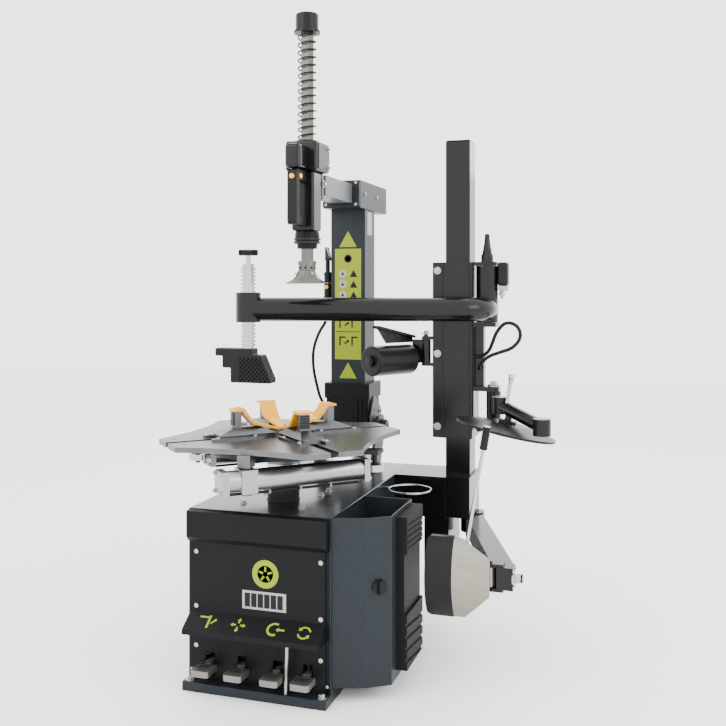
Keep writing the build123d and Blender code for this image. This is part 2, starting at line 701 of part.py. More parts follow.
# ---- helper arm ----
sleeve = []
for x, y in (
    (CARRIAGE_X, (CARRIAGE_Y[0], POST_Y[0] - GAP)),
    (CARRIAGE_X, (POST_Y[1] + GAP, CARRIAGE_Y[1])),
    ((CARRIAGE_X[0], POST_X[0] - GAP), (POST_Y[0] - GAP, POST_Y[1] + GAP)),
    ((POST_X[1] + GAP, CARRIAGE_X[1]), (POST_Y[0] - GAP, POST_Y[1] + GAP)),
):
    with BuildPart() as plate:
        slab(x, y, CARRIAGE_Z)
    sleeve.append(plate.part.solid())
with BuildPart() as flange:
    slab((368, CARRIAGE_X[0]), (300, 314), CARRIAGE_Z)
    slab((ROLLER_HINGE[0] - 14, 368), (302, 326), (948, 960))
    slab((ROLLER_HINGE[0] - 14, 368), (302, 326), (1046, 1058))
    bar((*ROLLER_HINGE, 948), (*ROLLER_HINGE, 1066), 8)
with BuildPart() as carriage_sleeve:
    add(sleeve[0])
carriage_sleeve.part = Compound(children=[*sleeve, *flange.part.solids()])
save(carriage_sleeve, "carriage_sleeve")

with BuildPart() as pivot_post:
    slab((516, 519.5), (305, 375), (745, 1331))
    slab((519, 600), (305, 375), (1095, 1111))
    slab((519, 600), (305, 375), (1317, 1331))
    bar((*SWING_AXIS, 1111), (*SWING_AXIS, 1317), 16)
    bar((*SWING_AXIS, 1331), (*SWING_AXIS, 1352), 22)
    slab((519, 553), (325, 360), (878, 1095))
    slab((519, 612), (298, 342), (745, 761))
    slab((519, 612), (298, 342), (862, 878))
    bar((*DISC_POST, 761), (*DISC_POST, 862), 12)
save(pivot_post, "pivot_post")

LOOP_HOSE = [
    (519.5, 314, 985),
    (548, 314, 985),
    (577, 300, 1008),
    (592, 288, 1040),
    (606, 281, 1078),
    (640, 277, 1116),
    (684, 274, 1104),
    (698, 272, 1062),
    (668, 272, 1022),
    (620, 276, 1006),
    (576, 279, 990),
    (549, 284, 963),
    (538, 301, 942),
    (538, 325, 942),
]
hose(LOOP_HOSE, 6.5, "loop_hose")

with BuildPart() as upper_arm:
    with BuildLine() as arm_path:
        FilletPolyline((*SWING_AXIS, ARM_Z), (*ELBOW, ARM_Z), (*ROD_AXIS, ARM_Z), radius=105)
    to_elbow = (ELBOW[0] - SWING_AXIS[0], ELBOW[1] - SWING_AXIS[1], 0)
    with BuildSketch(Plane(origin=(*SWING_AXIS, ARM_Z), z_dir=to_elbow)):
        Circle(42)
    sweep(path=arm_path.wires()[0])
    bar((*SWING_AXIS, 1112), (*SWING_AXIS, 1316), 39.5)
    bar((*ROD_AXIS, 1115), (*ROD_AXIS, 1220), 44)
    bar((*SWING_AXIS, 1112), (*SWING_AXIS, 1316), 16 + RUN, Mode.SUBTRACT)
    bar((*ROD_AXIS, 1110), (*ROD_AXIS, 1225), 27.4, Mode.SUBTRACT)
save(upper_arm, "upper_arm")

ROD_Z = (1022.0, 1322.0)
NOTCH = 13.5
with BuildPart() as presser_rod:
    bar((*ROD_AXIS, ROD_Z[0]), (*ROD_AXIS, ROD_Z[1]), 20.5)
    for n in range(21):
        low = ROD_Z[0] + 9 + n * NOTCH
        bar((*ROD_AXIS, low), (*ROD_AXIS, low + 7), 27)
    bar((*ROD_AXIS, ROD_Z[1]), (*ROD_AXIS, 1352), 9)
    bar((*ROD_AXIS, 1352), (*ROD_AXIS, 1372), 33)
save(presser_rod, "presser_rod")

with BuildPart() as presser_foot:
    with BuildSketch(Plane.XZ.offset(11 - 32)):
        with BuildLine():
            Polyline(
                (-332, 1022), (-176, 1022), (-134, 948), (-134, 896), (-352, 896), (-352, 962), (-332, 974),
                close=True
            )
        make_face()
    extrude(amount=64)
save(presser_foot, "presser_foot")

ROLL_DIR = Vector(-0.525, -0.851, 0).normalized()
ROLL_MID = Vector(*ROLLER_MID)


def along_roller(distance):
    """A point on the roller's axis."""
    return tuple(ROLL_MID + ROLL_DIR * distance)


hinge_box = sorted((along_roller(-130)[0] - 12, ROLLER_HINGE[0]))
with BuildPart() as roller_arm:
    bar((*ROLLER_HINGE, 960.5), (*ROLLER_HINGE, 1045.5), 18)
    slab((hinge_box[0], hinge_box[1]), (296, 324), (960.5, 1045.5))
    bar(along_roller(-130), along_roller(ROLLER_HALF + 14), 12)
    bar(along_roller(-130), along_roller(-ROLLER_HALF - 2), 22)
    bar(along_roller(ROLLER_HALF + 1), along_roller(ROLLER_HALF + 12), 20)
    bar((*ROLLER_HINGE, 960), (*ROLLER_HINGE, 1046), 8 + RUN, Mode.SUBTRACT)
save(roller_arm, "roller_arm")

with BuildPart() as roller:
    bar(along_roller(-ROLLER_HALF), along_roller(ROLLER_HALF), ROLLER_R)
    fillet(roller.edges(), 6)
    bar(along_roller(-ROLLER_HALF), along_roller(ROLLER_HALF), 12 + RUN, Mode.SUBTRACT)
save(roller, "roller")

TILT = radians(DISH_TILT)
DISH_AXIS = Vector(0.9527 * sin(TILT), 0.304 * sin(TILT), cos(TILT)).normalized()
DISH = Vector(*DISH_MID)


def on_dish_axis(distance):
    """A point on the bead disc's axis."""
    return tuple(DISH + DISH_AXIS * distance)


with BuildPart() as disc_arm:
    bar((*DISC_POST, 761.5), (*DISC_POST, 861.5), 26)
    bar((*DISC_POST, 836), (640, 160, 832), 17)
    bar((640, 160, 832), (800, 10, 785), 22)
    bar((640, 160, 804), (640, 160, 861), 29)
    bar((800, 10, 757), (800, 10, 812), 29)
    bar(on_dish_axis(-14), on_dish_axis(62), 12)
    bar(on_dish_axis(-24), on_dish_axis(-13), 21)
    bar((*DISC_POST, 761), (*DISC_POST, 862), 12 + RUN, Mode.SUBTRACT)
save(disc_arm, "disc_arm")

with BuildPart() as bead_disc:
    with BuildSketch(Plane(origin=DISH_MID, z_dir=DISH_AXIS)):
        Circle(DISH_R)
    extrude(amount=-8)
    with BuildSketch(Plane(origin=DISH_MID, z_dir=DISH_AXIS)):
        Circle(DISH_R - 4)
    extrude(amount=20, taper=78)
    bar(on_dish_axis(0), on_dish_axis(30), 30)
    bar(on_dish_axis(-12.5), on_dish_axis(-8), 24)
    bar(on_dish_axis(-12.5), on_dish_axis(31), 12 + RUN, Mode.SUBTRACT)
save(bead_disc, "bead_disc")

# ---- bead breaker ----
BEAD_RUN = Vector(BEAD_END[0] - BEAD_PIVOT[0], BEAD_END[1] - BEAD_PIVOT[1], 0)
with BuildPart() as bead_arm:
    bar((*BEAD_PIVOT, 326), (*BEAD_PIVOT, 400), 44)
    with BuildSketch(Plane(origin=(*BEAD_PIVOT, BEAD_Z), z_dir=BEAD_RUN)):
        Rectangle(66, 66)
    extrude(amount=BEAD_RUN.length - 20)
    slab((BEAD_END[0] - 28, BEAD_END[0] + 30), (BEAD_END[1] - 22, BEAD_END[1] + 30), (BEAD_Z - 34, BEAD_Z + 34))
    slab((BLADE_PIN_X - 20, BEAD_END[0]), (BEAD_END[1] - 20, BEAD_END[1] + 20), (BEAD_Z - 42, BEAD_Z - 32))
    slab((BLADE_PIN_X - 20, BEAD_END[0]), (BEAD_END[1] - 20, BEAD_END[1] + 20), (BEAD_Z + 32, BEAD_Z + 42))
    slab((BLADE_PIN_X - 26, BEAD_END[0] - 20), (BEAD_END[1] - 40, BEAD_END[1] + 60), (BEAD_Z - 31.5, BEAD_Z + 31.5),
         Mode.SUBTRACT)
    bar((BLADE_PIN_X, BEAD_END[1], BEAD_Z - 42), (BLADE_PIN_X, BEAD_END[1], BEAD_Z + 46), 9)
    bar((BEAD_END[0] + 30, BEAD_END[1], BEAD_Z), (BEAD_END[0] + 57, BEAD_END[1], BEAD_Z), 13.5)
    bar((*BEAD_PIVOT, 320), (*BEAD_PIVOT, 404), 15 + RUN, Mode.SUBTRACT)
save(bead_arm, "bead_arm")


BLADE_BOW = 186.0  # outer radius of the bowed blade and guard
BLADE_MID = (BEAD_END[1] + 142.0, 348.0)  # y, z of the line they are bowed about


def bowed(outline, thick):
    """A plate cut to an outline in front view and bowed about a line that runs left to right."""
    with BuildPart() as plate:
        bar((470, *BLADE_MID), (690, *BLADE_MID), BLADE_BOW)
        bar((469, *BLADE_MID), (691, *BLADE_MID), BLADE_BOW - thick, Mode.SUBTRACT)
        with BuildSketch(Plane.XZ.offset(-BLADE_MID[0] + 20)) as front_view:
            with BuildLine():
                Polyline(*outline, close=True)
            make_face()
        extrude(front_view.sketch, amount=200, mode=Mode.INTERSECT)
    return plate.part


with BuildPart() as blade:
    add(bowed([(562, 228), (562, 468), (588, 468), (674, 421), (679, 404), (679, 310), (608, 241), (596, 228)], 6))
    slab((640, BLADE_PIN_X), (BEAD_END[1] - 40, BEAD_END[1] + 8), (BEAD_Z - 30, BEAD_Z + 15))
    bar((BLADE_PIN_X, BEAD_END[1], BEAD_Z - 30), (BLADE_PIN_X, BEAD_END[1], BEAD_Z + 30), 18)
    bar((BLADE_PIN_X, BEAD_END[1], BEAD_Z - 30), (BLADE_PIN_X, BEAD_END[1], BEAD_Z + 30), 9 + RUN, Mode.SUBTRACT)
with BuildPart() as guard:
    add(bowed([(478, 236), (478, 460), (488, 470), (561.7, 470), (561.7, 225), (489, 225)], 16))
with BuildPart() as blade_handle:
    bar((598, BEAD_END[1] + 4, 436), (652, BEAD_END[1] + 4, 744), 5.5)
    bar((652, BEAD_END[1] + 4, 744), (664, BEAD_END[1] + 4, 815), 11)
bead_blade = BuildPart()
bead_blade.part = Compound(children=[*blade.part.solids(), *guard.part.solids(), *blade_handle.part.solids()])
save(bead_blade, "bead_blade")

# ---- switch ----
CHAMFER = Vector(64, 45, 0).normalized()
NORMAL = Vector(CHAMFER.Y, -CHAMFER.X, 0)
SWITCH = Vector(366, -377.5, 344)
with BuildPart() as switch_knob:
    face = SWITCH + NORMAL * 0.6
    with BuildSketch(Plane(origin=face, x_dir=CHAMFER, z_dir=NORMAL)):
        Circle(22)
    extrude(amount=8)
    with BuildSketch(Plane(origin=face + NORMAL * 8, x_dir=CHAMFER, z_dir=NORMAL)):
        Rectangle(12, 40)
    extrude(amount=14)
save(switch_knob, "switch_knob")
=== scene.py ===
import json
from math import cos, pi, radians, sin

import bmesh
import bpy
from mathutils import Matrix, Vector


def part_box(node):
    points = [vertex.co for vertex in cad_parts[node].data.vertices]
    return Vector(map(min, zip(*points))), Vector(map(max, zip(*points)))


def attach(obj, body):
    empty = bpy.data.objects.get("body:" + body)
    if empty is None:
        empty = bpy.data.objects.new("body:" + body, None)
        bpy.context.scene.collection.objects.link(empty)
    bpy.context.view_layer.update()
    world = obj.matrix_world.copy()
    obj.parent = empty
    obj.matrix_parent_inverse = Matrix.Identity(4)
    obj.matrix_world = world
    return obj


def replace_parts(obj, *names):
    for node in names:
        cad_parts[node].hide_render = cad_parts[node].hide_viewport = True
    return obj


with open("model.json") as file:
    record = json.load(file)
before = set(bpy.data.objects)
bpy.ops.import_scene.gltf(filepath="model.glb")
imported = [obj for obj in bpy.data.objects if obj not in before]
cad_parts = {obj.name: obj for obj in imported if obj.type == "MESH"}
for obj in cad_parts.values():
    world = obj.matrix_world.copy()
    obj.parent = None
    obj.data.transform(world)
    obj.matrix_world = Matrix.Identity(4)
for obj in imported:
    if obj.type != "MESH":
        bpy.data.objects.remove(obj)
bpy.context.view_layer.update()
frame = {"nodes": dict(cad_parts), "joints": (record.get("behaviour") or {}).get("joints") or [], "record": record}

NODES = frame["nodes"]


# ---- camera, light and floor ----
CAMERA_PLACE = (1.1615, -3.031, 1.236)
CAMERA_TURN = 17.7  # degrees to the left of straight ahead
LENS = 45.97  # mm, on a 36 mm sensor
SHIFT = -0.1033
SURROUNDINGS = 3.2  # strength of the white surroundings
FLOOR_REACH = 9.0
FLOOR_Z = -0.001  # just under the machine's feet
FLOOR_TONE = 0.92


def make_camera():
    """The camera at the machine's front right, level, with a small shift down."""
    data = bpy.data.cameras.new("camera")
    data.lens = LENS
    data.sensor_width = 36.0
    data.shift_y = SHIFT
    camera = bpy.data.objects.new("camera", data)
    camera.location = CAMERA_PLACE
    camera.rotation_euler = (radians(90), 0, radians(CAMERA_TURN))
    bpy.context.collection.objects.link(camera)
    bpy.context.scene.camera = camera


def area_light(name, place, aim, size, power):
    """A soft square light that points at a place."""
    data = bpy.data.lights.new(name, "AREA")
    data.size = size
    data.energy = power
    light = bpy.data.objects.new(name, data)
    light.location = place
    light.rotation_euler = (Vector(aim) - Vector(place)).to_track_quat("-Z", "Y").to_euler()
    bpy.context.collection.objects.link(light)


def make_studio():
    """White surroundings, three soft lights and a pale floor."""
    world = bpy.data.worlds.new("studio")
    bpy.context.scene.world = world
    world.use_nodes = True
    background = world.node_tree.nodes["Background"]
    background.inputs["Color"].default_value = (1.0, 1.0, 1.0, 1.0)
    background.inputs["Strength"].default_value = SURROUNDINGS
    area_light("key", (-2.2, -3.2, 3.4), (0.0, 0.0, 0.9), 2.2, 75)
    area_light("side", (3.6, -1.2, 2.6), (0.2, 0.0, 0.8), 1.8, 60)
    area_light("back", (0.6, 3.4, 3.2), (0.1, 0.0, 1.0), 2.6, 60)
    mesh = bpy.data.meshes.new("floor")
    corners = [(x * FLOOR_REACH, y * FLOOR_REACH, FLOOR_Z) for x, y in ((-1, -1), (1, -1), (1, 1), (-1, 1))]
    mesh.from_pydata(corners, [], [(0, 1, 2, 3)])
    floor = bpy.data.objects.new("floor", mesh)
    bpy.context.collection.objects.link(floor)
    surface = bpy.data.materials.new("floor_paint")
    surface.use_nodes = True
    shader = surface.node_tree.nodes["Principled BSDF"]
    shader.inputs["Base Color"].default_value = (FLOOR_TONE, FLOOR_TONE, FLOOR_TONE, 1)
    shader.inputs["Roughness"].default_value = 0.7
    mesh.materials.append(surface)


make_camera()
make_studio()


# ---- materials ----
def surface(name, colour, second=None, rough=(0.35, 0.5), metal=0.0, grain=90.0, bump=0.05, coat=0.0,
            stretch=(1.0, 1.0, 1.0), wear=None, shine=0.5):
    """A procedural finish: two tones mixed by noise, uneven roughness, fine bump and paler worn edges."""
    mat = bpy.data.materials.new(name)
    mat.use_nodes = True
    tree = mat.node_tree
    shader = tree.nodes["Principled BSDF"]
    shader.inputs["Metallic"].default_value = metal
    shader.inputs["Coat Weight"].default_value = coat
    shader.inputs["Specular IOR Level"].default_value = shine
    shader.inputs["Coat Roughness"].default_value = 0.12
    place = tree.nodes.new("ShaderNodeTexCoord")
    mapping = tree.nodes.new("ShaderNodeMapping")
    mapping.inputs["Scale"].default_value = stretch
    tree.links.new(place.outputs["Object"], mapping.inputs["Vector"])
    broad = tree.nodes.new("ShaderNodeTexNoise")
    broad.inputs["Scale"].default_value = grain * 0.12
    broad.inputs["Detail"].default_value = 5.0
    fine = tree.nodes.new("ShaderNodeTexNoise")
    fine.inputs["Scale"].default_value = grain
    fine.inputs["Detail"].default_value = 3.0
    for noise in (broad, fine):
        tree.links.new(mapping.outputs["Vector"], noise.inputs["Vector"])
    other = second or tuple(min(1.0, c * 1.25 + 0.004) for c in colour)
    tones = tree.nodes.new("ShaderNodeMix")
    tones.data_type = "RGBA"
    tones.inputs["A"].default_value = (*colour, 1)
    tones.inputs["B"].default_value = (*other, 1)
    tree.links.new(broad.outputs["Fac"], tones.inputs["Factor"])
    result = tones.outputs["Result"]
    if wear:
        edge = tree.nodes.new("ShaderNodeBevel")
        edge.samples = 4
        edge.inputs["Radius"].default_value = 0.0025
        geometry = tree.nodes.new("ShaderNodeNewGeometry")
        same = tree.nodes.new("ShaderNodeVectorMath")
        same.operation = "DOT_PRODUCT"
        tree.links.new(edge.outputs["Normal"], same.inputs[0])
        tree.links.new(geometry.outputs["Normal"], same.inputs[1])
        amount = tree.nodes.new("ShaderNodeMapRange")
        amount.inputs["From Min"].default_value = 0.99
        amount.inputs["From Max"].default_value = 0.80
        amount.inputs["To Max"].default_value = 0.55
        tree.links.new(same.outputs["Value"], amount.inputs["Value"])
        worn = tree.nodes.new("ShaderNodeMix")
        worn.data_type = "RGBA"
        worn.inputs["B"].default_value = (*wear, 1)
        tree.links.new(amount.outputs["Result"], worn.inputs["Factor"])
        tree.links.new(result, worn.inputs["A"])
        result = worn.outputs["Result"]
    tree.links.new(result, shader.inputs["Base Color"])
    gloss = tree.nodes.new("ShaderNodeMapRange")
    gloss.inputs["To Min"].default_value = rough[0]
    gloss.inputs["To Max"].default_value = rough[1]
    tree.links.new(fine.outputs["Fac"], gloss.inputs["Value"])
    tree.links.new(gloss.outputs["Result"], shader.inputs["Roughness"])
    relief = tree.nodes.new("ShaderNodeBump")
    relief.inputs["Strength"].default_value = bump
    relief.inputs["Distance"].default_value = 0.001
    tree.links.new(fine.outputs["Fac"], relief.inputs["Height"])
    tree.links.new(relief.outputs["Normal"], shader.inputs["Normal"])
    return mat


FINISH_LOOKS = {
    "cabinet_paint": dict(colour=(0.0085, 0.0115, 0.0145), rough=(0.34, 0.48), grain=700, bump=0.10,
                          wear=(0.030, 0.034, 0.038), shine=0.16),
    "top_gloss": dict(colour=(0.007, 0.009, 0.012), rough=(0.12, 0.24), grain=400, bump=0.03, coat=0.12,
                      wear=(0.03, 0.034, 0.038), shine=0.25),
    "black_cover": dict(colour=(0.0022, 0.0023, 0.0028), rough=(0.34, 0.46), grain=900, bump=0.14,
                        wear=(0.012, 0.012, 0.014), shine=0.10),
    "zinc": dict(colour=(0.30, 0.30, 0.29), second=(0.42, 0.41, 0.39), rough=(0.22, 0.38), metal=1.0,
                 grain=260),
    "table_steel": dict(colour=(0.085, 0.088, 0.092), second=(0.15, 0.155, 0.16), rough=(0.26, 0.42),
                        metal=1.0, grain=120, bump=0.10, stretch=(1.0, 4.0, 1.0),
                        wear=(0.30, 0.30, 0.30)),
    "dark_steel": dict(colour=(0.012, 0.0125, 0.0135), second=(0.026, 0.026, 0.028), rough=(0.36, 0.52),
                       metal=0.7, grain=300, bump=0.12, wear=(0.10, 0.10, 0.10), shine=0.2),
    "jaw_yellow": dict(colour=(0.66, 0.275, 0.0020), second=(0.74, 0.33, 0.0035), rough=(0.24, 0.36),
                       grain=500, bump=0.06, coat=0.1, wear=(0.80, 0.45, 0.03), shine=0.25),
    "satin_aluminium": dict(colour=(0.24, 0.245, 0.25), second=(0.34, 0.345, 0.35), rough=(0.28, 0.42),
                            metal=1.0, grain=420, bump=0.06, wear=(0.5, 0.5, 0.5)),
    "chrome": dict(colour=(0.36, 0.365, 0.37), second=(0.45, 0.455, 0.46), rough=(0.08, 0.16), metal=1.0,
                   grain=200, bump=0.02),
    "arm_black": dict(colour=(0.0016, 0.0017, 0.0020), rough=(0.14, 0.24), grain=500, bump=0.04,
                      coat=0.10, wear=(0.012, 0.012, 0.013), shine=0.18),
    "pad_rubber": dict(colour=(0.0035, 0.0035, 0.0037), second=(0.006, 0.006, 0.006), rough=(0.55, 0.72),
                       grain=600, bump=0.25, wear=(0.014, 0.014, 0.014), shine=0.12),
    "spring_steel": dict(colour=(0.006, 0.006, 0.007), rough=(0.25, 0.4), metal=0.4, grain=300,
                         shine=0.2),
    "blade_steel": dict(colour=(0.20, 0.19, 0.155), second=(0.30, 0.29, 0.24), rough=(0.26, 0.40),
                        metal=0.9, grain=150, bump=0.12, stretch=(0.6, 1.0, 6.0), wear=(0.5, 0.48, 0.42)),
    "pedal_metal": dict(colour=(0.16, 0.15, 0.135), second=(0.22, 0.21, 0.19), rough=(0.35, 0.5),
                        metal=0.85, grain=420, bump=0.15, wear=(0.42, 0.40, 0.38)),
    "button_yellow": dict(colour=(0.70, 0.33, 0.004), rough=(0.2, 0.3), grain=500, bump=0.03, shine=0.3),
    "grip_black": dict(colour=(0.0028, 0.0028, 0.0031), rough=(0.42, 0.56), grain=1200, bump=0.3,
                       shine=0.15),
    "nylon_black": dict(colour=(0.0030, 0.0030, 0.0034), rough=(0.26, 0.40), grain=700, bump=0.08,
                        wear=(0.014, 0.014, 0.015), shine=0.15),
    "hose_black": dict(colour=(0.0028, 0.0028, 0.0030), rough=(0.4, 0.55), grain=900, bump=0.12,
                       shine=0.15),
    "light_grey_cast": dict(colour=(0.075, 0.078, 0.082), second=(0.105, 0.108, 0.112),
                            rough=(0.30, 0.44), grain=500, bump=0.15, wear=(0.22, 0.22, 0.22), shine=0.3),
}
FINISH = {name: surface(name, **look) for name, look in FINISH_LOOKS.items()}
LIME = surface("lime_print", (0.20, 0.25, 0.008), (0.23, 0.28, 0.014), rough=(0.35, 0.5), grain=800,
               bump=0.03, shine=0.15)
# Dark print for labels and plates. On the foot's square windows and the flange holes it is painted shade for the
# dark inside of an opening.
INK_AND_HOLE_SHADE = surface("dark_print_and_hole_shade", (0.004, 0.0045, 0.005), rough=(0.4, 0.5), grain=800, bump=0.03, shine=0.15)
PALE = surface("pale_plastic", (0.26, 0.26, 0.25), (0.32, 0.32, 0.31), rough=(0.4, 0.5), grain=600, bump=0.05,
               shine=0.2)
SHAFT = surface("shaft_steel", (0.085, 0.08, 0.072), (0.13, 0.125, 0.112), rough=(0.24, 0.38), metal=1.0,
                grain=300, stretch=(1.0, 1.0, 0.2), wear=(0.35, 0.35, 0.34))
# A dark grey: the paint of the foot's side plates, and a painted reflection on the tool head's box sides.
GREY_PAINT_AND_REFLECTION = surface("grey_paint_and_reflection", (0.030, 0.033, 0.036), (0.040, 0.043, 0.046), rough=(0.35, 0.48),
                     grain=600, bump=0.1, shine=0.2)

SLOT_OF = {row["node"]: row["material_slot"] for row in frame["record"]["subparts"]}
BODY_OF = {}
for body, members in frame["record"]["behaviour"]["bodies"].items():
    for member in members:
        BODY_OF[member] = body


def soften(piece, width=0.0015, segments=2, angle=35):
    """Rounded edges and smooth shading, without changing the mesh itself."""
    bevel = piece.modifiers.new("edges", "BEVEL")
    bevel.width = width
    bevel.segments = segments
    bevel.limit_method = "ANGLE"
    bevel.angle_limit = radians(angle)
    bevel.harden_normals = True


def smooth(piece, angle=35):
    """Smooth shading except over sharp edges."""
    bm = bmesh.new()
    bm.from_mesh(piece.data)
    for face in bm.faces:
        face.smooth = True
    for edge in bm.edges:
        edge.smooth = len(edge.link_faces) == 2 and edge.calc_face_angle(0) < radians(angle)
    bm.to_mesh(piece.data)
    bm.free()


def place(name, mesh, body, finish, slot, bevel=0.0):
    """Adds a new piece that rides on a body with the finish it is given; its slot is not used."""
    piece = bpy.data.objects.new(name, mesh)
    bpy.context.collection.objects.link(piece)
    piece.data.materials.clear()
    piece.data.materials.append(finish)
    smooth(piece)
    if bevel:
        soften(piece, bevel)
    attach(piece, body)
    return piece


def piece(name, bm, body, slot, bevel=0.0, finish=None):
    """Turns a bmesh into a riding piece."""
    bmesh.ops.recalc_face_normals(bm, faces=bm.faces)
    mesh = bpy.data.meshes.new(name)
    bm.to_mesh(mesh)
    bm.free()
    return place(name, mesh, body, finish or FINISH[slot], slot, bevel)


# ---- shapes ----
def add_box(bm, low, high, turn=None):
    """A box between two corners; turn is an optional matrix about the box's middle."""
    low, high = Vector(low), Vector(high)
    size = high - low
    made = bmesh.ops.create_cube(bm, size=1.0)["verts"]
    frame_of = Matrix.Translation((low + high) / 2)
    if turn is not None:
        frame_of = frame_of @ turn
    bmesh.ops.transform(bm, matrix=frame_of @ Matrix.Diagonal((*size, 1.0)), verts=made)


def add_lathe(bm, start, axis, profile, steps=32):
    """A turned shape: profile is a list of (distance along axis, radius)."""
    axis = Vector(axis).normalized()
    side = axis.orthogonal().normalized()
    other = axis.cross(side)
    rings = []
    for along, radius in profile:
        centre = Vector(start) + axis * along
        if radius < 1e-6:
            rings.append([bm.verts.new(centre)])
            continue
        rings.append([
            bm.verts.new(centre + radius * (cos(2 * pi * n / steps) * side + sin(2 * pi * n / steps) * other))
            for n in range(steps)
        ])
    for near, far in zip(rings, rings[1:]):
        for n in range(steps):
            after = n + 1
            corners = [near[n % len(near)], near[after % len(near)], far[after % len(far)], far[n % len(far)]]
            unique = list(dict.fromkeys(corners))
            if len(unique) > 2:
                bm.faces.new(unique)
    for ring, flip in ((rings[0], True), (rings[-1], False)):
        if len(ring) > 1:
            bm.faces.new(ring[::-1] if flip else ring)


def add_prism(bm, origin, right, up, outline, depth):
    """An outline in a plane, pushed out by depth along the plane's normal."""
    right, up = Vector(right).normalized(), Vector(up).normalized()
    normal = right.cross(up)
    front = [bm.verts.new(Vector(origin) + right * x + up * y + normal * depth) for x, y in outline]
    back = [bm.verts.new(Vector(origin) + right * x + up * y) for x, y in outline]
    bm.faces.new(front)
    bm.faces.new(back[::-1])
    count = len(outline)
    for n in range(count):
        bm.faces.new([back[n], back[(n + 1) % count], front[(n + 1) % count], front[n]])


def add_tube(bm, points, radius, steps=16):
    """A round tube through points, with round-cut joints and flat ends."""
    points = [Vector(p) for p in points]
    rings = []
    side = None
    for n, point in enumerate(points):
        before = points[max(n - 1, 0)]
        after = points[min(n + 1, len(points) - 1)]
        along = (after - before).normalized()
        side = (along.orthogonal() if side is None else side - along * side.dot(along)).normalized()
        other = along.cross(side)
        rings.append([
            bm.verts.new(point + radius * (cos(2 * pi * k / steps) * side + sin(2 * pi * k / steps) * other))
            for k in range(steps)
        ])
    for near, far in zip(rings, rings[1:]):
        for k in range(steps):
            bm.faces.new([near[k], near[(k + 1) % steps], far[(k + 1) % steps], far[k]])
    bm.faces.new(rings[0][::-1])
    bm.faces.new(rings[-1])


def hex_bolt(bm, spot, axis, across, height):
    """A hexagon head on a washer, with a chamfered top."""
    radius = across / 2 / cos(pi / 6)
    washer = across * 0.95
    add_lathe(bm, spot, axis, [(0, washer), (height * 0.22, washer)], 28)
    add_lathe(bm, Vector(spot) + Vector(axis).normalized() * height * 0.22, axis,
              [(0, radius), (height * 0.68, radius), (height * 0.78, radius * 0.86)], 6)


def socket_screw(bm, spot, axis, radius, height):
    """A button head with a hexagon recess."""
    recess = height * 0.45
    add_lathe(bm, spot, axis, [(0, radius), (height * 0.4, radius), (height * 0.85, radius * 0.78),
                               (height, radius * 0.5), (recess, radius * 0.42), (recess, 0)], 24)


SPLIT_EDGE = 0.0012  # rounding of the edges of CAD nodes and of their parts


def loose_parts(bm):
    """The faces of a mesh in groups, one for each loose part."""
    groups, seen = [], set()
    for face in bm.faces:
        if face.index in seen:
            continue
        group, queue = [], [face]
        seen.add(face.index)
        while queue:
            here = queue.pop()
            group.append(here)
            for edge in here.edges:
                for near in edge.link_faces:
                    if near.index not in seen:
                        seen.add(near.index)
                        queue.append(near)
        groups.append(group)
    return groups


def split_node(node, parts):
    """Copies the loose parts of a CAD node into new pieces. parts maps a new name to (test, slot, finish)."""
    bm = bmesh.new()
    bm.from_mesh(NODES[node].data)
    bmesh.ops.remove_doubles(bm, verts=bm.verts, dist=1e-6)
    groups = loose_parts(bm)
    made = []
    for name, (test, slot, finish) in parts.items():
        out = bmesh.new()
        for group in groups:
            corners = [v.co for face in group for v in face.verts]
            low = Vector([min(c[k] for c in corners) for k in range(3)])
            high = Vector([max(c[k] for c in corners) for k in range(3)])
            if not test(low, high):
                continue
            copy = {}
            for face in group:
                for v in face.verts:
                    if v not in copy:
                        copy[v] = out.verts.new(v.co)
                out.faces.new([copy[v] for v in face.verts])
        made.append(piece(name, out, BODY_OF[node], slot, SPLIT_EDGE, finish))
    bm.free()
    for one in made:
        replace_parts(one, node)


# ---- cords ----
def hose(name, node, points, diameter):
    """A hose on a smooth curve through its route's control points, which are in millimetres."""
    curve = bpy.data.curves.new(name, "CURVE")
    curve.dimensions = "3D"
    curve.bevel_depth = diameter / 2
    curve.bevel_resolution = 6
    curve.use_fill_caps = True
    curve.resolution_u = 16
    spline = curve.splines.new("NURBS")
    spline.points.add(len(points) - 1)
    for control, spot in zip(spline.points, points):
        control.co = (spot[0] / 1000, spot[1] / 1000, spot[2] / 1000, 1.0)
    spline.order_u = 3
    spline.use_endpoint_u = True
    cord = bpy.data.objects.new(name, curve)
    bpy.context.collection.objects.link(cord)
    curve.materials.append(FINISH["hose_black"])
    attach(cord, BODY_OF[node])
    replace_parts(cord, node)
    return cord


AIR_HOSE = [
    (-95, 445, 1150), (-97, 443, 1108), (-128, 433, 1062), (-151, 425, 990), (-149, 424, 915),
    (-136, 430, 850), (-127, 437, 806), (-114, 441, 779), (-99, 442, 770), (-86, 442, 770),
]
LOOP_HOSE = [
    (519.5, 314, 985), (548, 314, 985), (577, 300, 1008), (592, 288, 1040), (606, 281, 1078),
    (640, 277, 1116), (684, 274, 1104), (698, 272, 1062), (668, 272, 1022), (620, 276, 1006),
    (576, 279, 990), (549, 284, 963), (538, 301, 942), (538, 325, 942),
]
air_hose = hose("gun_hose", "air_hose", AIR_HOSE, 0.012)
loop_hose = hose("arm_hose", "loop_hose", LOOP_HOSE, 0.013)

# ---- CAD nodes keep their shape and get their finishes ----
for node_name, node in NODES.items():
    node.data.materials.clear()
    node.data.materials.append(FINISH[SLOT_OF[node_name]])
    if node_name not in ("return_spring", "bucket_ring", "air_hose", "loop_hose"):
        soften(node, SPLIT_EDGE)
NODES["column_foot"].data.materials[0] = FINISH["black_cover"]
NODES["bead_arm"].data.materials[0] = FINISH["arm_black"]


# ---- nodes that hold several pieces ----
JAW_STEP = 0.75  # a jaw's slide starts below this height, and its cover above it


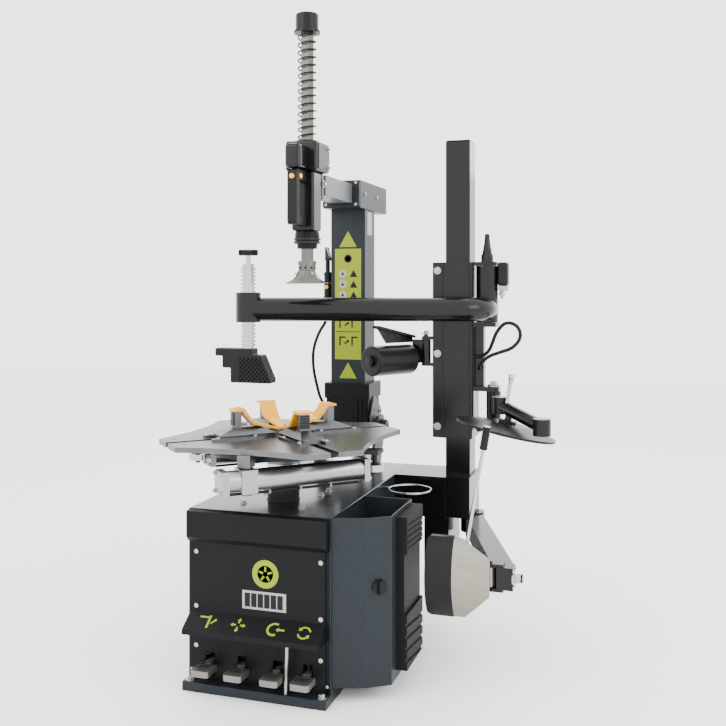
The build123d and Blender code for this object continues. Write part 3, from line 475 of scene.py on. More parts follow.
def split_jaws():
    """Each jaw is a steel slide with a yellow cover."""
    for number in range(1, 5):
        split_node(f"jaw_{number}", {
            f"jaw_slide_{number}": (lambda low, high: low.z < JAW_STEP, "table_steel", FINISH["table_steel"]),
            f"jaw_cover_{number}": (lambda low, high: low.z >= JAW_STEP, "jaw_yellow", FINISH["jaw_yellow"]),
        })


def split_others():
    """The tool shaft and its cap, the base frame and its pedal shaft, the blade, its guard and its handle."""
    split_node("hex_shaft", {
        "tool_shaft": (lambda low, high: low.z < 2.0, "zinc", SHAFT),
        "shaft_cap": (lambda low, high: low.z >= 2.0, "nylon_black", FINISH["nylon_black"]),
    })
    split_node("base_frame", {
        "base_rails": (lambda low, high: low.z < 0.02, "cabinet_paint", FINISH["cabinet_paint"]),
        "pedal_shaft": (lambda low, high: low.z > 0.021, "zinc", FINISH["zinc"]),
    })
    split_node("bead_blade", {
        "blade_metal": (lambda low, high: low.x > 0.55 and high.z < 0.5, "blade_steel",
                        FINISH["blade_steel"]),
        "blade_guard": (lambda low, high: low.x < 0.5, "nylon_black", FINISH["nylon_black"]),
        "blade_handle": (lambda low, high: high.z > 0.6, "chrome", FINISH["chrome"]),
    })


split_jaws()
split_others()


# ---- cabinet details ----
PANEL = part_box("front_panel")
FACE_Y = PANEL[0][1]
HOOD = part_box("pedal_hood")


def add_band(bm, origin, right, up, inner, outer, depth, start=0.0, sweep=2 * pi, steps=48):
    """A flat ring or part of one, as a raised band."""
    if sweep >= 2 * pi - 1e-6:
        right, up = Vector(right).normalized(), Vector(up).normalized()
        normal = right.cross(up)
        section = [(0, inner), (0, outer), (depth, outer), (depth, inner), (0, inner)]
        add_lathe(bm, origin, normal, section, steps)
        return
    turns = [start + sweep * n / steps for n in range(steps + 1)]
    far = [(outer * cos(turn), outer * sin(turn)) for turn in turns]
    near = [(inner * cos(turn), inner * sin(turn)) for turn in turns]
    for n in range(steps):
        add_prism(bm, origin, right, up, [near[n], far[n], far[n + 1], near[n + 1]], depth)


PRINT = 0.0012  # thickness of a plate or a raised print
PLATE_MID = (0.022, 0.287)  # x, z of the name plate's middle


def rectangle(x0, z0, x1, z1):
    """The corners of an upright rectangle."""
    return [(x0, z0), (x1, z0), (x1, z1), (x0, z1)]


def front_emblem():
    """A plain tyre roundel and a blank name plate on the front panel."""
    centre = (0.026, FACE_Y, 0.369)
    bm = bmesh.new()
    add_band(bm, centre, (1, 0, 0), (0, 0, 1), 0.026, 0.043, PRINT)
    for n in range(5):
        a = radians(72 * n + 90)
        add_prism(bm, centre, (cos(a), 0, sin(a)), (-sin(a), 0, cos(a)),
                  [(0.008, -0.0035), (0.0225, -0.0025), (0.0225, 0.0025), (0.008, 0.0035)], PRINT)
    piece("front_roundel", bm, "cabinet", "black_cover", 0, LIME)
    bm = bmesh.new()
    plate = (PLATE_MID[0], FACE_Y, PLATE_MID[1])
    add_prism(bm, plate, (1, 0, 0), (0, 0, 1), rectangle(-0.072, -0.028, 0.072, 0.028), PRINT)
    piece("name_plate", bm, "cabinet", "black_cover", 0.0004, PALE)
    bm = bmesh.new()
    for n in range(6):
        x = -0.064 + 0.0215 * n
        add_prism(bm, (plate[0], FACE_Y - PRINT, plate[2]), (1, 0, 0), (0, 0, 1),
                  rectangle(x, -0.021, x + 0.018, 0.021), 0.0005)
    piece("plate_blocks", bm, "cabinet", "black_cover", 0.0002, INK_AND_HOLE_SHADE)


PEDAL_X = [(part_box(f"pedal_{n}")[0][0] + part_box(f"pedal_{n}")[1][0]) / 2 for n in range(1, 5)]
SLOPE_TOP = Vector((0, FACE_Y - 0.0001, HOOD[1][2]))
SLOPE_LOW = Vector((0, HOOD[0][1], HOOD[1][2] - 0.042))
SLOPE_UP = (SLOPE_TOP - SLOPE_LOW).normalized()
SLOPE_MID = (SLOPE_TOP + SLOPE_LOW) / 2


def on_slope(x):
    """The middle of the pedal hood's slope at an x place."""
    return (x, SLOPE_MID.y, SLOPE_MID.z)


def arrow(bm, origin, right, up, start, end, width, depth):
    """A straight arrow in a plane."""
    start, end = Vector(start), Vector(end)
    along = (end - start).normalized()
    across = Vector((-along.y, along.x))
    neck = end - along * width * 1.6
    points = [start + across * width / 2, neck + across * width / 2, neck + across * width * 1.2, end,
              neck - across * width * 1.2, neck - across * width / 2, start - across * width / 2]
    add_prism(bm, origin, right, up, [(p.x, p.y) for p in points[::-1]], depth)


def pedal_pictograms():
    """Four plain pictograms above the pedals: tilt, clamp, press and turn."""
    right, up, thick = (1, 0, 0), SLOPE_UP, 0.0006
    bm = bmesh.new()
    spot = on_slope(PEDAL_X[0])
    add_prism(bm, spot, right, up, rectangle(0.006, -0.022, 0.013, 0.022), thick)
    add_prism(bm, spot, right, up, rectangle(-0.024, 0.012, 0.006, 0.018), thick)
    arrow(bm, spot, right, up, (0.018, -0.006), (0.034, 0.012), 0.005, thick)
    piece("pictogram_tilt", bm, "cabinet", "black_cover", 0, LIME)
    bm = bmesh.new()
    spot = on_slope(PEDAL_X[1])
    for n in range(4):
        a = radians(90 * n)
        start, end = (0.007 * cos(a), 0.007 * sin(a)), (0.025 * cos(a), 0.025 * sin(a))
        arrow(bm, spot, right, up, start, end, 0.0055, thick)
    piece("pictogram_clamp", bm, "cabinet", "black_cover", 0, LIME)
    bm = bmesh.new()
    spot = on_slope(PEDAL_X[2])
    add_band(bm, spot, right, up, 0.016, 0.023, thick, radians(60), radians(240), 24)
    arrow(bm, spot, right, up, (0.034, 0.0), (0.006, 0.0), 0.006, thick)
    piece("pictogram_press", bm, "cabinet", "black_cover", 0, LIME)
    bm = bmesh.new()
    spot = on_slope(PEDAL_X[3])
    for half in (0, pi):
        add_band(bm, spot, right, up, 0.016, 0.0215, thick, half + 0.3, 2.1, 20)
        tip = half + 2.75
        middle = 0.0188
        arrow(bm, spot, right, up, (middle * cos(tip - 0.45), middle * sin(tip - 0.45)),
              (middle * cos(tip + 0.12), middle * sin(tip + 0.12)), 0.006, thick)
    piece("pictogram_turn", bm, "cabinet", "black_cover", 0, LIME)


ANCHOR = (0.215, 0.465, 0.028)  # an anchor hole's middle, at the top of the base frame


def cabinet_trim():
    """Pedal treads, the stored tyre lever, the front panel's screws and the anchor bolts."""
    for n in range(1, 5):
        low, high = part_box(f"pedal_{n}")
        bm = bmesh.new()
        for row in range(4):
            y = low[1] + 0.014 + 0.012 * row
            add_box(bm, (low[0] + 0.008, y, high[2] - 0.0065), (high[0] - 0.008, y + 0.005, high[2] - 0.0048))
        piece(f"pedal_tread_{n}", bm, f"pedal_{n}_lever", "grip_black", 0.0008)
    bm = bmesh.new()
    add_tube(bm, [(0.105, FACE_Y - 0.030, 0.0285), (0.1115, FACE_Y - 0.036, 0.176)], 0.0055, 20)
    piece("tyre_lever", bm, "cabinet", "zinc", 0.0008)
    bm = bmesh.new()
    for x in (PANEL[0][0] + 0.008, PANEL[1][0] - 0.010):
        for z in (0.05, 0.512):
            socket_screw(bm, (x, PANEL[0][1] + 0.006, z), (0, -1, 0), 0.0055, 0.0035)
    piece("corner_screws", bm, "cabinet", "zinc")
    bm = bmesh.new()
    for sx in (-1, 1):
        for sy in (-1, 1):
            hex_bolt(bm, (ANCHOR[0] * sx, ANCHOR[1] * sy, ANCHOR[2]), (0, 0, 1), 0.018, 0.012)
    piece("anchor_bolts", bm, "cabinet", "zinc")


def switch_and_tray():
    """A bezel behind the speed switch and a soft mat in the storage tray."""
    low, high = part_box("switch_knob")
    centre = (low + high) / 2
    along = Vector((64, 45, 0)).normalized()
    out = Vector((along.y, -along.x, 0))
    origin = centre - out * 0.0111
    bm = bmesh.new()
    add_prism(bm, origin - out * 0.0003, along, (0, 0, 1), rectangle(-0.028, -0.034, 0.028, 0.034), 0.0006)
    piece("switch_bezel", bm, "cabinet", "nylon_black", 0, PALE)
    low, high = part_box("side_box")
    bm = bmesh.new()
    add_box(bm, (high[0] - 0.150, low[1] + 0.085, 0.4772), (high[0] - 0.006, high[1] - 0.006, 0.4802))
    piece("tray_mat", bm, "cabinet", "pad_rubber", 0.001)


front_emblem()
pedal_pictograms()
cabinet_trim()
switch_and_tray()


# ---- column details ----
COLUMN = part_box("column_tube")
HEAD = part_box("head_shell")
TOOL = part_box("hex_shaft")
TOOL_X, TOOL_Y = (TOOL[0][0] + TOOL[1][0]) / 2, (TOOL[0][1] + TOOL[1][1]) / 2


LABEL_Z = 1.173  # middle of the column's label
STICKER = 0.0005  # thickness of a label
MARK = 0.0003  # thickness of a mark on a label
TRIANGLE_Z = (1.427, 0.912)


def column_labels():
    """A plain lime panel with blank discs and marks, two blank triangles and a blank side label."""
    right, up = (1, 0, 0), (0, 0, 1)
    face = (0.0, COLUMN[0][1], LABEL_Z)
    bm = bmesh.new()
    add_prism(bm, face, right, up, rectangle(-0.054, -0.217, 0.054, 0.217), STICKER)
    piece("column_label", bm, "column", "cabinet_paint", 0, LIME)
    top = (0.0, COLUMN[0][1] - STICKER, LABEL_Z)
    bm = bmesh.new()
    for row in range(3):
        centre = (top[0] - 0.022, top[1], top[2] + 0.120 - 0.042 * row)
        add_lathe(bm, centre, (0, -1, 0), [(0, 0.0165), (MARK, 0.0165), (MARK, 0)], 28)
    piece("label_discs", bm, "column", "cabinet_paint", 0, PALE)
    bm = bmesh.new()
    add_band(bm, (top[0], top[1], top[2] + 0.178), right, up, 0.010, 0.016, MARK)
    for row in range(3):
        z = 0.120 - 0.042 * row
        spot = (top[0], top[1] - 0.0004, top[2])
        add_prism(bm, spot, right, up, [(-0.029, z - 0.006), (-0.015, z - 0.006), (-0.022, z + 0.008)], MARK)
        add_prism(bm, top, right, up, [(0.007, z - 0.014), (0.039, z - 0.014), (0.023, z + 0.014)], MARK)
    for row in range(2):
        z = -0.075 - 0.070 * row
        for x in (-0.036, 0.014):
            add_prism(bm, top, right, up, rectangle(x, z - 0.018, x + 0.006, z + 0.018), MARK)
            add_prism(bm, top, right, up, rectangle(x, z + 0.012, x + 0.026, z + 0.018), MARK)
        arrow(bm, top, right, up, (-0.014, z - 0.010), (0.006, z + 0.004), 0.006, MARK)
    for z in (0.0, -0.110):
        add_prism(bm, top, right, up, rectangle(-0.048, z, 0.048, z + 0.003), MARK)
    piece("label_marks", bm, "column", "cabinet_paint", 0, INK_AND_HOLE_SHADE)
    bm = bmesh.new()
    for z in TRIANGLE_Z:
        triangle = [(-0.036, -0.030), (0.036, -0.030), (0, 0.032)]
        add_prism(bm, (0, COLUMN[0][1], z), right, up, triangle, STICKER)
    piece("label_triangles", bm, "column", "cabinet_paint", 0, LIME)
    bm = bmesh.new()
    add_prism(bm, (COLUMN[1][0], COLUMN[0][1] + 0.06, 1.49), (0, 1, 0), up,
              rectangle(-0.03, -0.045, 0.03, 0.045), STICKER)
    piece("side_label", bm, "column", "cabinet_paint", 0, PALE)


CHEEK = [(0.404, 0.695), (0.552, 0.695), (0.552, 0.750), (0.478, 0.806), (0.446, 0.812), (0.404, 0.735)]
PIVOT_Y, PIVOT_Z = 0.470, 0.690  # the column's tilt pivot


def mirrored(outline, side):
    """The outline as it is on the right side, or turned over for the left side."""
    return outline if side > 0 else [(-y, z) for y, z in outline]


def foot_details():
    """Side plates with a square window of painted shade, cover bolts, ribs and hinge caps on the column's foot."""
    bm = bmesh.new()
    for side in (-1, 1):
        add_prism(bm, (side * 0.0925, 0, 0), (0, side, 0), (0, 0, 1), mirrored(CHEEK, side), 0.004)
    piece("foot_cheeks", bm, "column", "light_grey_cast", 0.001, GREY_PAINT_AND_REFLECTION)
    bm = bmesh.new()
    for side in (-1, 1):
        hex_bolt(bm, (side * 0.0965, 0.524, 0.745), (side, 0, 0), 0.013, 0.008)
    piece("foot_bolts", bm, "column", "zinc", 0.0004)
    bm = bmesh.new()
    for x in (-0.080, 0.034, 0.052, 0.070):
        add_box(bm, (x, 0.4005, 0.690), (x + 0.009, 0.4052, 0.800))
    piece("foot_ribs", bm, "column", "black_cover", 0.001)
    bm = bmesh.new()
    for side in (-1, 1):
        window = mirrored(rectangle(0.437, 0.752, 0.453, 0.768), side)
        add_prism(bm, (side * 0.0963, 0, 0), (0, side, 0), (0, 0, 1), window, 0.0006)
    # The windows are thin dark sheets: painted shade where the openings would look dark inside.
    piece("cheek_windows", bm, "column", "dark_steel", 0, INK_AND_HOLE_SHADE)
    bm = bmesh.new()
    for side in (-1, 1):
        turned = [(0, 0.030), (0.004, 0.030), (0.008, 0.026), (0.008, 0.010), (0.005, 0.008), (0.005, 0)]
        add_lathe(bm, (side * 0.1362, PIVOT_Y, PIVOT_Z), (side, 0, 0), turned, 32)
    piece("hinge_caps", bm, "cabinet", "black_cover")


def head_details():
    """Rear cap, arm collar and fasteners on the column head."""
    bm = bmesh.new()
    add_box(bm, (HEAD[0][0] + 0.004, HEAD[1][1], HEAD[0][2] + 0.004),
            (HEAD[1][0] - 0.004, HEAD[1][1] + 0.006, HEAD[1][2] - 0.004))
    piece("head_rear_cap", bm, "column", "black_cover", 0.003)
    bm = bmesh.new()
    front, back = HEAD[0][1] - 0.012, HEAD[0][1]
    inner, outer, base, crest = 0.0465, 0.074, 1.547, 1.646
    for low, high in ((-outer, -inner), (inner, outer)):
        add_box(bm, (low, front, base), (high, back, crest))
    add_box(bm, (-inner, front, base), (inner, back, 1.5595))
    add_box(bm, (-inner, front, 1.6345), (inner, back, crest))
    piece("arm_collar", bm, "column", "cabinet_paint", 0.0015)
    bm = bmesh.new()
    for x in (-0.060, 0.060):
        for z in (1.556, 1.637):
            socket_screw(bm, (x, front, z), (0, -1, 0), 0.006, 0.004)
    for y in (0.40, 0.56):
        for side in (-1, 1):
            socket_screw(bm, (side * 0.075, y, 1.60), (side, 0, 0), 0.008, 0.005)
    piece("head_screws", bm, "column", "zinc")


GUN = (-0.095, 0.445)  # x, y of the air gun's axis


def gun_details():
    """Collars and a bent nozzle on the air gun."""
    bm = bmesh.new()
    body, collar = 0.0148, 0.0165
    for z in (1.166, 1.196, 1.286):
        add_lathe(bm, (*GUN, z), (0, 0, 1), [(0, body), (0.001, collar), (0.007, collar), (0.008, body)], 28)
    piece("gun_collars", bm, "column", "grip_black")
    bm = bmesh.new()
    add_lathe(bm, (*GUN, 1.344), (0, 0, 1), [(0, 0.010), (0.001, 0.012), (0.004, 0.012)], 24)
    add_tube(bm, [(-0.084, 0.445, 1.346), (-0.086, 0.436, 1.372), (-0.096, 0.430, 1.398)], 0.005, 12)
    piece("gun_hook", bm, "column", "zinc", 0.0004)


column_labels()
foot_details()
head_details()
gun_details()


# ---- tool head details ----
SHOULDER = 1.636  # where the tool head narrows
NECK = 0.041  # half the width of the tool head below its shoulder


def tool_housing():
    """The tool head's rounded housing, nose, and collar with its web."""
    low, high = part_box("tool_head_body")
    bm = bmesh.new()
    add_box(bm, (low[0], TOOL_Y - 0.062, SHOULDER), (high[0], TOOL_Y + 0.065, high[2]))
    add_box(bm, (-NECK, TOOL_Y - 0.047, 1.432), (NECK, TOOL_Y + 0.036, SHOULDER + 0.002))
    add_box(bm, (-NECK, TOOL_Y + 0.030, 1.552), (NECK, TOOL_Y + 0.065, SHOULDER + 0.002))
    piece("tool_housing", bm, "reach_arm", "arm_black", 0.009)
    bm = bmesh.new()
    add_box(bm, (-0.028, low[1], SHOULDER), (0.028, TOOL_Y - 0.055, 1.720))
    piece("tool_nose", bm, "reach_arm", "arm_black", 0.014)
    bm = bmesh.new()
    turned = [(0, 0.0225), (0, 0.034), (0.018, 0.036), (0.018, 0.043), (0.046, 0.043), (0.062, 0.040),
              (0.070, 0.034), (0.070, 0)]
    add_lathe(bm, (TOOL_X, TOOL_Y, low[2]), (0, 0, 1), turned, 48)
    web = [(TOOL_Y + 0.030, 1.470), (TOOL_Y + 0.066, 1.540), (TOOL_Y + 0.150, 1.559), (TOOL_Y + 0.030, 1.559)]
    add_prism(bm, (-0.008, 0, 0), (0, 1, 0), (0, 0, 1), web, 0.016)
    piece("tool_collar", bm, "reach_arm", "black_cover", 0.001)
    for part in ("tool_housing", "tool_nose", "tool_collar"):
        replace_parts(bpy.data.objects[part], "tool_head_body")


def tool_head_details():
    """Side cheeks in a lighter grey that paints a reflection on the tool head's black box sides, sleeve rings,
    bolts, flange screws and the spring's seat.
    """
    bm = bmesh.new()
    for side in (-1, 1):
        outline = mirrored(rectangle(-0.046, 0.006, 0.060, 0.096), side)
        add_prism(bm, (side * 0.058, TOOL_Y, SHOULDER), (0, side, 0), (0, 0, 1), outline, 0.003)
    # The cheeks' lighter grey is a painted reflection of the white surroundings on the glossy black box's sides.
    piece("tool_head_painted_reflection", bm, "reach_arm", "light_grey_cast", 0.0012, GREY_PAINT_AND_REFLECTION)
    bm = bmesh.new()
    for z in (1.390, 1.402):
        add_lathe(bm, (TOOL_X, TOOL_Y, z), (0, 0, 1),
                  [(0, 0.0435), (0, 0.0475), (0.005, 0.0475), (0.005, 0.0435)], 48)
    piece("sleeve_rings", bm, "reach_arm", "dark_steel", 0.0006)
    bm = bmesh.new()
    for side in (-1, 1):
        for z in (1.655, 1.72):
            hex_bolt(bm, (side * 0.0608, TOOL_Y + 0.045, z), (side, 0, 0), 0.010, 0.007)
        hex_bolt(bm, (side * NECK, TOOL_Y + 0.050, 1.600), (side, 0, 0), 0.014, 0.009)
    piece("tool_head_bolts", bm, "reach_arm", "zinc", 0.0004)
    bm = bmesh.new()
    ring = 0.0235
    for n in range(5):
        a = 2 * pi * n / 5 + 0.3
        spot = (TOOL_X + ring * cos(a), TOOL_Y + ring * sin(a), 1.2952)
        socket_screw(bm, spot, (0, 0, -1), 0.0035, 0.002)
    for n in range(2):
        socket_screw(bm, (TOOL_X - 0.03 + 0.06 * n, TOOL_Y - 0.0285, 1.286), (0, -1, 0), 0.005, 0.003)
    piece("flange_screws", bm, "tool_shaft", "zinc")
    bm = bmesh.new()
    add_lathe(bm, (TOOL_X, TOOL_Y, 1.7390), (0, 0, 1),
              [(0, 0.0245), (0, 0.043), (0.004, 0.043), (0.006, 0.040), (0.006, 0.0245)], 48)
    piece("spring_seat", bm, "reach_arm", "spring_steel")


SHOE_STEPS = 40
SHOE = [  # height, half width and half depth of the shoe's sections
    (0.0, 0.078, 0.026), (0.003, 0.0775, 0.026), (0.008, 0.062, 0.026), (0.015, 0.050, 0.026),
    (0.024, 0.041, 0.027), (0.034, 0.0345, 0.026), (0.045, 0.0305, 0.025),
]


def mount_shoe():
    """The mounting head's flared shoe, with a drilled flange above it whose holes are dark discs of painted shade.
    """
    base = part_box("mount_head")[0][2]
    bm = bmesh.new()
    rings = []
    for rise, half, deep in SHOE:
        ring = []
        for n in range(SHOE_STEPS):
            a = 2 * pi * n / SHOE_STEPS
            x = max(-1, min(1, 1.5 * cos(a))) * (half - deep) + cos(a) * deep
            ring.append(bm.verts.new((TOOL_X + x, TOOL_Y - 0.006 + sin(a) * deep, base + rise)))
        rings.append(ring)
    for lower, upper in zip(rings, rings[1:]):
        for n in range(SHOE_STEPS):
            after = (n + 1) % SHOE_STEPS
            bm.faces.new((lower[n], lower[after], upper[after], upper[n]))
    bm.faces.new(rings[0][::-1])
    bm.faces.new(rings[-1])
    add_lathe(bm, (TOOL_X, TOOL_Y, base + 0.044), (0, 0, 1),
              [(0, 0.028), (0.002, 0.030), (0.022, 0.030), (0.022, 0)], SHOE_STEPS)
    shoe = piece("mount_shoe", bm, "tool_shaft", "chrome", 0.0006, SHAFT)
    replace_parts(shoe, "mount_head")
    bm = bmesh.new()
    for n in range(9):
        a = 2 * pi * n / 9
        spot = (TOOL_X + 0.030 * cos(a), TOOL_Y + 0.030 * sin(a), 1.306)
        add_lathe(bm, spot, (cos(a), sin(a), 0), [(0, 0.0045), (0.0004, 0.0045), (0.0004, 0)], 16)
    # The holes are thin dark discs: painted shade where the drilled holes would look dark inside.
    piece("flange_holes", bm, "tool_shaft", "dark_steel", 0, INK_AND_HOLE_SHADE)


tool_housing()
tool_head_details()
mount_shoe()


# ---- helper arm details ----
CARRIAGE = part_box("carriage_sleeve")
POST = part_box("assist_column")


def carriage_details():
    """Flange bolts and side strips on the carriage, and a cap on the column."""
    bm = bmesh.new()
    for z in (0.728, 0.995, 1.300):
        hex_bolt(bm, (0.386, 0.300, z), (0, -1, 0), 0.014, 0.009)
        socket_screw(bm, (0.3735, 0.300, z + 0.004), (0, -1, 0), 0.004, 0.003)
    piece("carriage_bolts", bm, "carriage", "zinc")
    bm = bmesh.new()
    for x in (0.4055, 0.5045):
        add_box(bm, (x - 0.003, CARRIAGE[0][1] - 0.004, 0.690), (x + 0.003, CARRIAGE[0][1], 1.327))
    piece("carriage_ribs", bm, "carriage", "arm_black", 0.001)
    bm = bmesh.new()
    add_box(bm, (POST[0][0] + 0.001, POST[0][1] + 0.001, POST[1][2]),
            (POST[1][0] - 0.001, POST[1][1] - 0.001, POST[1][2] + 0.006))
    piece("column_cap", bm, "cabinet", "nylon_black", 0.003)


def valve_details():
    """The air valve with its base, fitting and bracket."""
    bm = bmesh.new()
    add_box(bm, (0.604, 0.314, 1.243), (0.642, 0.362, 1.330))
    piece("air_valve", bm, "carriage", "nylon_black", 0.010)
    bm = bmesh.new()
    add_box(bm, (0.607, 0.318, 1.226), (0.639, 0.358, 1.244))
    piece("valve_base", bm, "carriage", "light_grey_cast", 0.002, PALE)
    bm = bmesh.new()
    add_lathe(bm, (0.618, 0.338, 1.227), (0, 0, -1),
              [(0, 0.008), (0.006, 0.008), (0.007, 0.011), (0.018, 0.011), (0.019, 0.006), (0.030, 0.006),
               (0.030, 0)], 24)
    piece("valve_fitting", bm, "carriage", "zinc")
    bm = bmesh.new()
    add_box(bm, (0.600, 0.330, 1.318), (0.606, 0.350, 1.3305))
    piece("valve_bracket", bm, "carriage", "zinc", 0.0008)


def carriage_knobs():
    """The tapered lever on the upper pivot and the hand knob on the carriage's side."""
    bm = bmesh.new()
    add_lathe(bm, (0.563, 0.340, 1.352), (0, 0, 1),
              [(0, 0.0215), (0.004, 0.0215), (0.008, 0.018), (0.045, 0.0115), (0.070, 0.009), (0.078, 0.009),
               (0.082, 0.006), (0.082, 0)], 32)
    piece("pivot_lever", bm, "carriage", "dark_steel")
    bm = bmesh.new()
    add_lathe(bm, (0.517, 0.345, 0.735), (1, 0, 0),
              [(0, 0.012), (0.006, 0.012), (0.006, 0.022), (0.010, 0.028), (0.022, 0.028), (0.030, 0.020),
               (0.032, 0)], 32)
    piece("hand_knob", bm, "carriage", "nylon_black")


def presser_details():
    """A knurled knob and a stepped foot with a diamond tread."""
    low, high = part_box("presser_rod")
    axis = ((low[0] + high[0]) / 2, (low[1] + high[1]) / 2)
    bm = bmesh.new()
    steps, r = 40, 0.0335
    for n in range(steps):
        a = 2 * pi * n / steps
        spot = (axis[0] + r * cos(a), axis[1] + r * sin(a), high[2] - 0.019)
        add_lathe(bm, spot, (0, 0, 1), [(0, 0.0012), (0.018, 0.0012)], 6)
    piece("knob_knurl", bm, "presser", "grip_black")
    bm = bmesh.new()
    add_lathe(bm, (*axis, high[2] - 0.0204), (0, 0, 1),
              [(0, 0.010), (0, 0.0332), (0.018, 0.0332), (0.0207, 0.030), (0.0207, 0)], steps)
    piece("rod_knob", bm, "presser", "nylon_black")
    low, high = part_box("presser_foot")
    front = low[1]
    bm = bmesh.new()
    x0, x1, z0, z1 = low[0] + 0.002, high[0] - 0.002, low[2] + 0.004, high[2]
    shape = [(x0, z1), (x0, z1 - 0.028), (x0 + 0.028, z1 - 0.028), (x0 + 0.028, z0 + 0.052),
             (x0 + 0.060, z0 + 0.052), (x0 + 0.060, z0), (x1, z0), (x1, z0 + 0.014), (x1 - 0.038, z1 - 0.022),
             (x1 - 0.070, z1 - 0.022), (x1 - 0.070, z1)]
    add_prism(bm, (0, front + 0.006, 0), (1, 0, 0), (0, 0, 1), shape, -(high[1] - front - 0.007))
    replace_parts(piece("foot_core", bm, "presser", "nylon_black", 0.005), "presser_foot")
    bm = bmesh.new()
    pitch, half = 0.0155, 0.0064
    for row in range(17):
        for column in range(9):
            x = x1 - 0.118 + column * pitch + (0.5 * pitch if row % 2 else 0)
            z = z0 + 0.009 + row * pitch * 0.5
            slope = z1 - 0.030 if x < x1 - 0.040 else z1 - 0.030 - (x - x1 + 0.040) * 2.3
            if x > x1 - 0.008 or z > slope:
                continue
            add_prism(bm, (x, front + 0.006, z), (1, 0, 0), (0, 0, 1),
                      [(-half, 0), (0, -half), (half, 0), (0, half)], 0.0045)
    piece("foot_tread", bm, "presser", "nylon_black", 0.0012)


ROLLER_AXIS = (-0.525, -0.851, 0)


def roller_gusset():
    """The web and strap above the roller."""
    low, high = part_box("roller")
    middle = ((low[0] + high[0]) / 2, (low[1] + high[1]) / 2, 0)
    along = Vector(ROLLER_AXIS).normalized()
    bm = bmesh.new()
    web = [(-0.112, 1.036), (0.020, 1.036), (0.062, 1.090), (-0.112, 1.052)]
    add_prism(bm, middle, along, (0, 0, 1), web, 0.005)
    strap = [(-0.112, 1.052), (0.062, 1.090), (0.074, 1.096), (0.066, 1.101), (-0.112, 1.061)]
    across = Vector((along.y, -along.x, 0))
    add_prism(bm, Vector(middle) + across * -0.016, along, (0, 0, 1), strap, 0.036)
    piece("roller_gusset", bm, "roller_carrier", "arm_black", 0.001)


PAD_RADIUS = 0.172  # from the turntable's axis to a jaw's pad
TABLE_Y = -0.240  # y of the turntable's axis


def jaw_pads():
    """Dark serrated pads behind the jaws' posts."""
    for number in range(1, 5):
        a = radians(45 + 90 * (number - 1))
        out, across = Vector((cos(a), sin(a), 0)), Vector((-sin(a), cos(a), 0))
        bm = bmesh.new()
        for row in range(6):
            z = 0.802 + 0.0070 * row
            add_prism(bm, Vector((0, TABLE_Y, 0)) + out * PAD_RADIUS, across, (0, 0, 1),
                      rectangle(-0.0155, z, 0.0155, z + 0.0055), 0.0045)
        piece(f"jaw_pad_{number}", bm, f"jaw_{number}_slide", "dark_steel", 0.0006)


def disc_arm_details():
    """A locking lever with a ball end and its boss, the lower pivot's cap and the roller's hinge bolt."""
    bm = bmesh.new()
    foot, tip = Vector((0.664, 0.132, 0.820)), Vector((0.685, 0.134, 0.944))
    reach = (tip - foot).length
    profile = [(0, 0.0085), (0.010, 0.0080), (0.050, 0.0062), (reach - 0.028, 0.0075)]
    for n in range(4, 13):
        turn = pi * n / 12
        profile.append((reach - 0.011 - 0.011 * cos(turn), max(0.0115 * sin(turn), 0.0)))
    add_lathe(bm, foot, tip - foot, profile, 28)
    piece("lever_rod", bm, "disc_carrier", "chrome", 0.0)
    bm = bmesh.new()
    add_lathe(bm, (0.664, 0.132, 0.806), (0, 0, 1),
              [(0, 0.022), (0.012, 0.022), (0.018, 0.014), (0.024, 0.010), (0.024, 0)], 28)
    piece("lever_boss", bm, "disc_carrier", "arm_black")
    bm = bmesh.new()
    add_lathe(bm, (0.590, 0.320, 0.8785), (0, 0, 1), [(0, 0.022), (0.004, 0.022), (0.006, 0.019)], 32)
    hex_bolt(bm, (0.590, 0.320, 0.8845), (0, 0, 1), 0.022, 0.014)
    piece("post_cap", bm, "carriage", "zinc", 0.0005)
    bm = bmesh.new()
    hex_bolt(bm, (0.340, 0.310, 1.066), (0, 0, 1), 0.018, 0.012)
    piece("roller_hinge_bolt", bm, "carriage", "zinc", 0.0004)


def blade_details():
    """Handle grip, adjusting nut and clamp screws on the bead breaker."""
    bm = bmesh.new()
    start, end = Vector((0.652, -0.230, 0.744)), Vector((0.664, -0.230, 0.8145))
    ridge, groove = 0.0125, 0.0112
    profile = [(0, groove), (0.002, ridge)]
    for n in range(6):
        step = n * 0.010
        profile += [(0.008 + step, ridge), (0.010 + step, groove), (0.013 + step, groove),
                    (0.015 + step, ridge)]
    profile += [(0.0705, 0.0118), (0.0715, 0)]
    add_lathe(bm, start, end - start, profile, 28)
    piece("handle_grip", bm, "breaker_blade", "grip_black")
    bm = bmesh.new()
    hex_bolt(bm, (0.743, -0.234, 0.363), (1, 0, 0), 0.027, 0.026)
    for y in (-0.256, -0.212):
        for z in (0.339, 0.387):
            socket_screw(bm, (0.746, y, z), (1, 0, 0), 0.005, 0.004)
    piece("adjuster_nut", bm, "breaker_arm", "chrome", 0.0005)


carriage_details()
valve_details()
carriage_knobs()
presser_details()
roller_gusset()
jaw_pads()
disc_arm_details()
blade_details()


# ---- turntable details ----
BARREL = (-0.085, 0.394)  # ends of a clamp cylinder, measured along it from its pivot
LINE_DROP = 0.0372  # height of a cylinder's axis above its air line


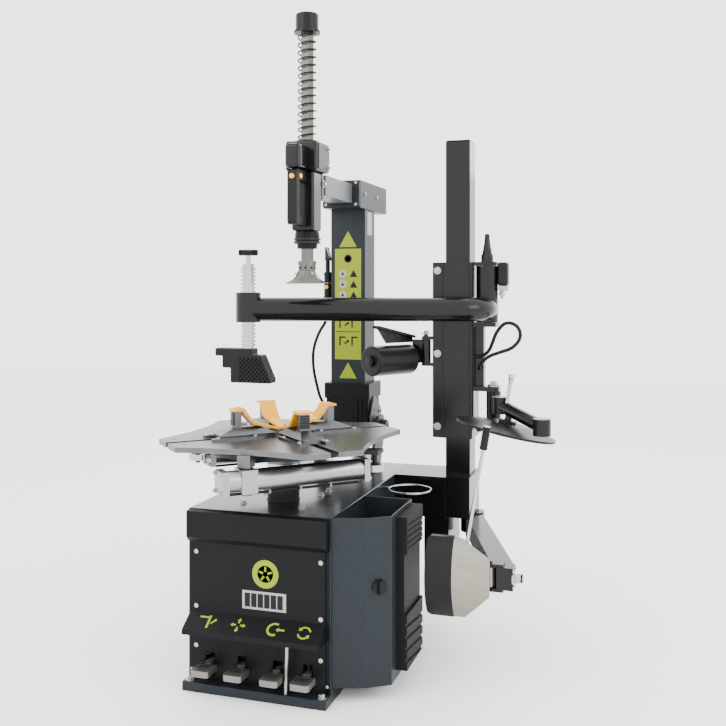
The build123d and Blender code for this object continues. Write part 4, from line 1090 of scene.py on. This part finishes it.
def table_details():
    """Guide screws on the wings and a ring round the hub."""
    low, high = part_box("table_plate")
    cx, cy = (low[0] + high[0]) / 2, (low[1] + high[1]) / 2
    top = 0.762
    bm = bmesh.new()
    for wing in range(4):
        a = radians(45 + 90 * wing)
        for side in (-1, 1):
            for r in (0.115, 0.235):
                x = cx + r * cos(a) - side * 0.045 * sin(a)
                y = cy + r * sin(a) + side * 0.045 * cos(a)
                socket_screw(bm, (x, y, top + 0.008), (0, 0, 1), 0.0065, 0.004)
    piece("guide_screws", bm, "turntable", "zinc")
    bm = bmesh.new()
    add_lathe(bm, (cx, cy, 0.660), (0, 0, 1),
              [(0, 0.0520), (0, 0.0545), (0.012, 0.0545), (0.012, 0.0520)], 56)
    piece("hub_ring", bm, "turntable", "chrome", 0.0006)


def cylinder_details(number):
    """Tie-rod nuts on a clamp cylinder, and the air line under it with its ties."""
    joints = {joint["name"]: joint for joint in frame["joints"]}
    pivot = Vector(joints[f"ram_{number}_swing"]["pos_m"])
    along = Vector(joints[f"ram_{number}_stroke"]["axis"]).normalized()
    across = Vector((-along.y, along.x, 0))
    bm = bmesh.new()
    nut = [(0, 0.0062), (0.0045, 0.0062), (0.0055, 0.0052), (0.0055, 0.0035), (0.009, 0.003), (0.009, 0)]
    for reach, way in ((BARREL[0], -1), (BARREL[1], 1)):
        for u in (-0.026, 0.026):
            for v in (-0.026, 0.026):
                add_lathe(bm, pivot + along * reach + across * u + Vector((0, 0, v)), along * way, nut, 6)
    piece(f"tie_nuts_{number}", bm, f"ram_{number}", "zinc")
    bm = bmesh.new()
    down = Vector((0, 0, -LINE_DROP))
    out = across * (-0.004)
    route = [pivot + along * d + down + out for d in (-0.060, -0.028)]
    route += [pivot + along * d + down * 1.04 + out for d in (0.03, 0.12, 0.24, 0.366)]
    add_tube(bm, route, 0.0042, 14)
    piece(f"air_line_{number}", bm, f"ram_{number}", "hose_black", 0.0003)
    bm = bmesh.new()
    for d in (0.07, 0.17, 0.27):
        spot = pivot + along * d + down * 1.04 + out
        add_lathe(bm, spot, along, [(0, 0), (0, 0.0062), (0.004, 0.0062), (0.004, 0)], 16)
    piece(f"line_ties_{number}", bm, f"ram_{number}", "light_grey_cast", 0, PALE)


table_details()
cylinder_details(1)
cylinder_details(2)
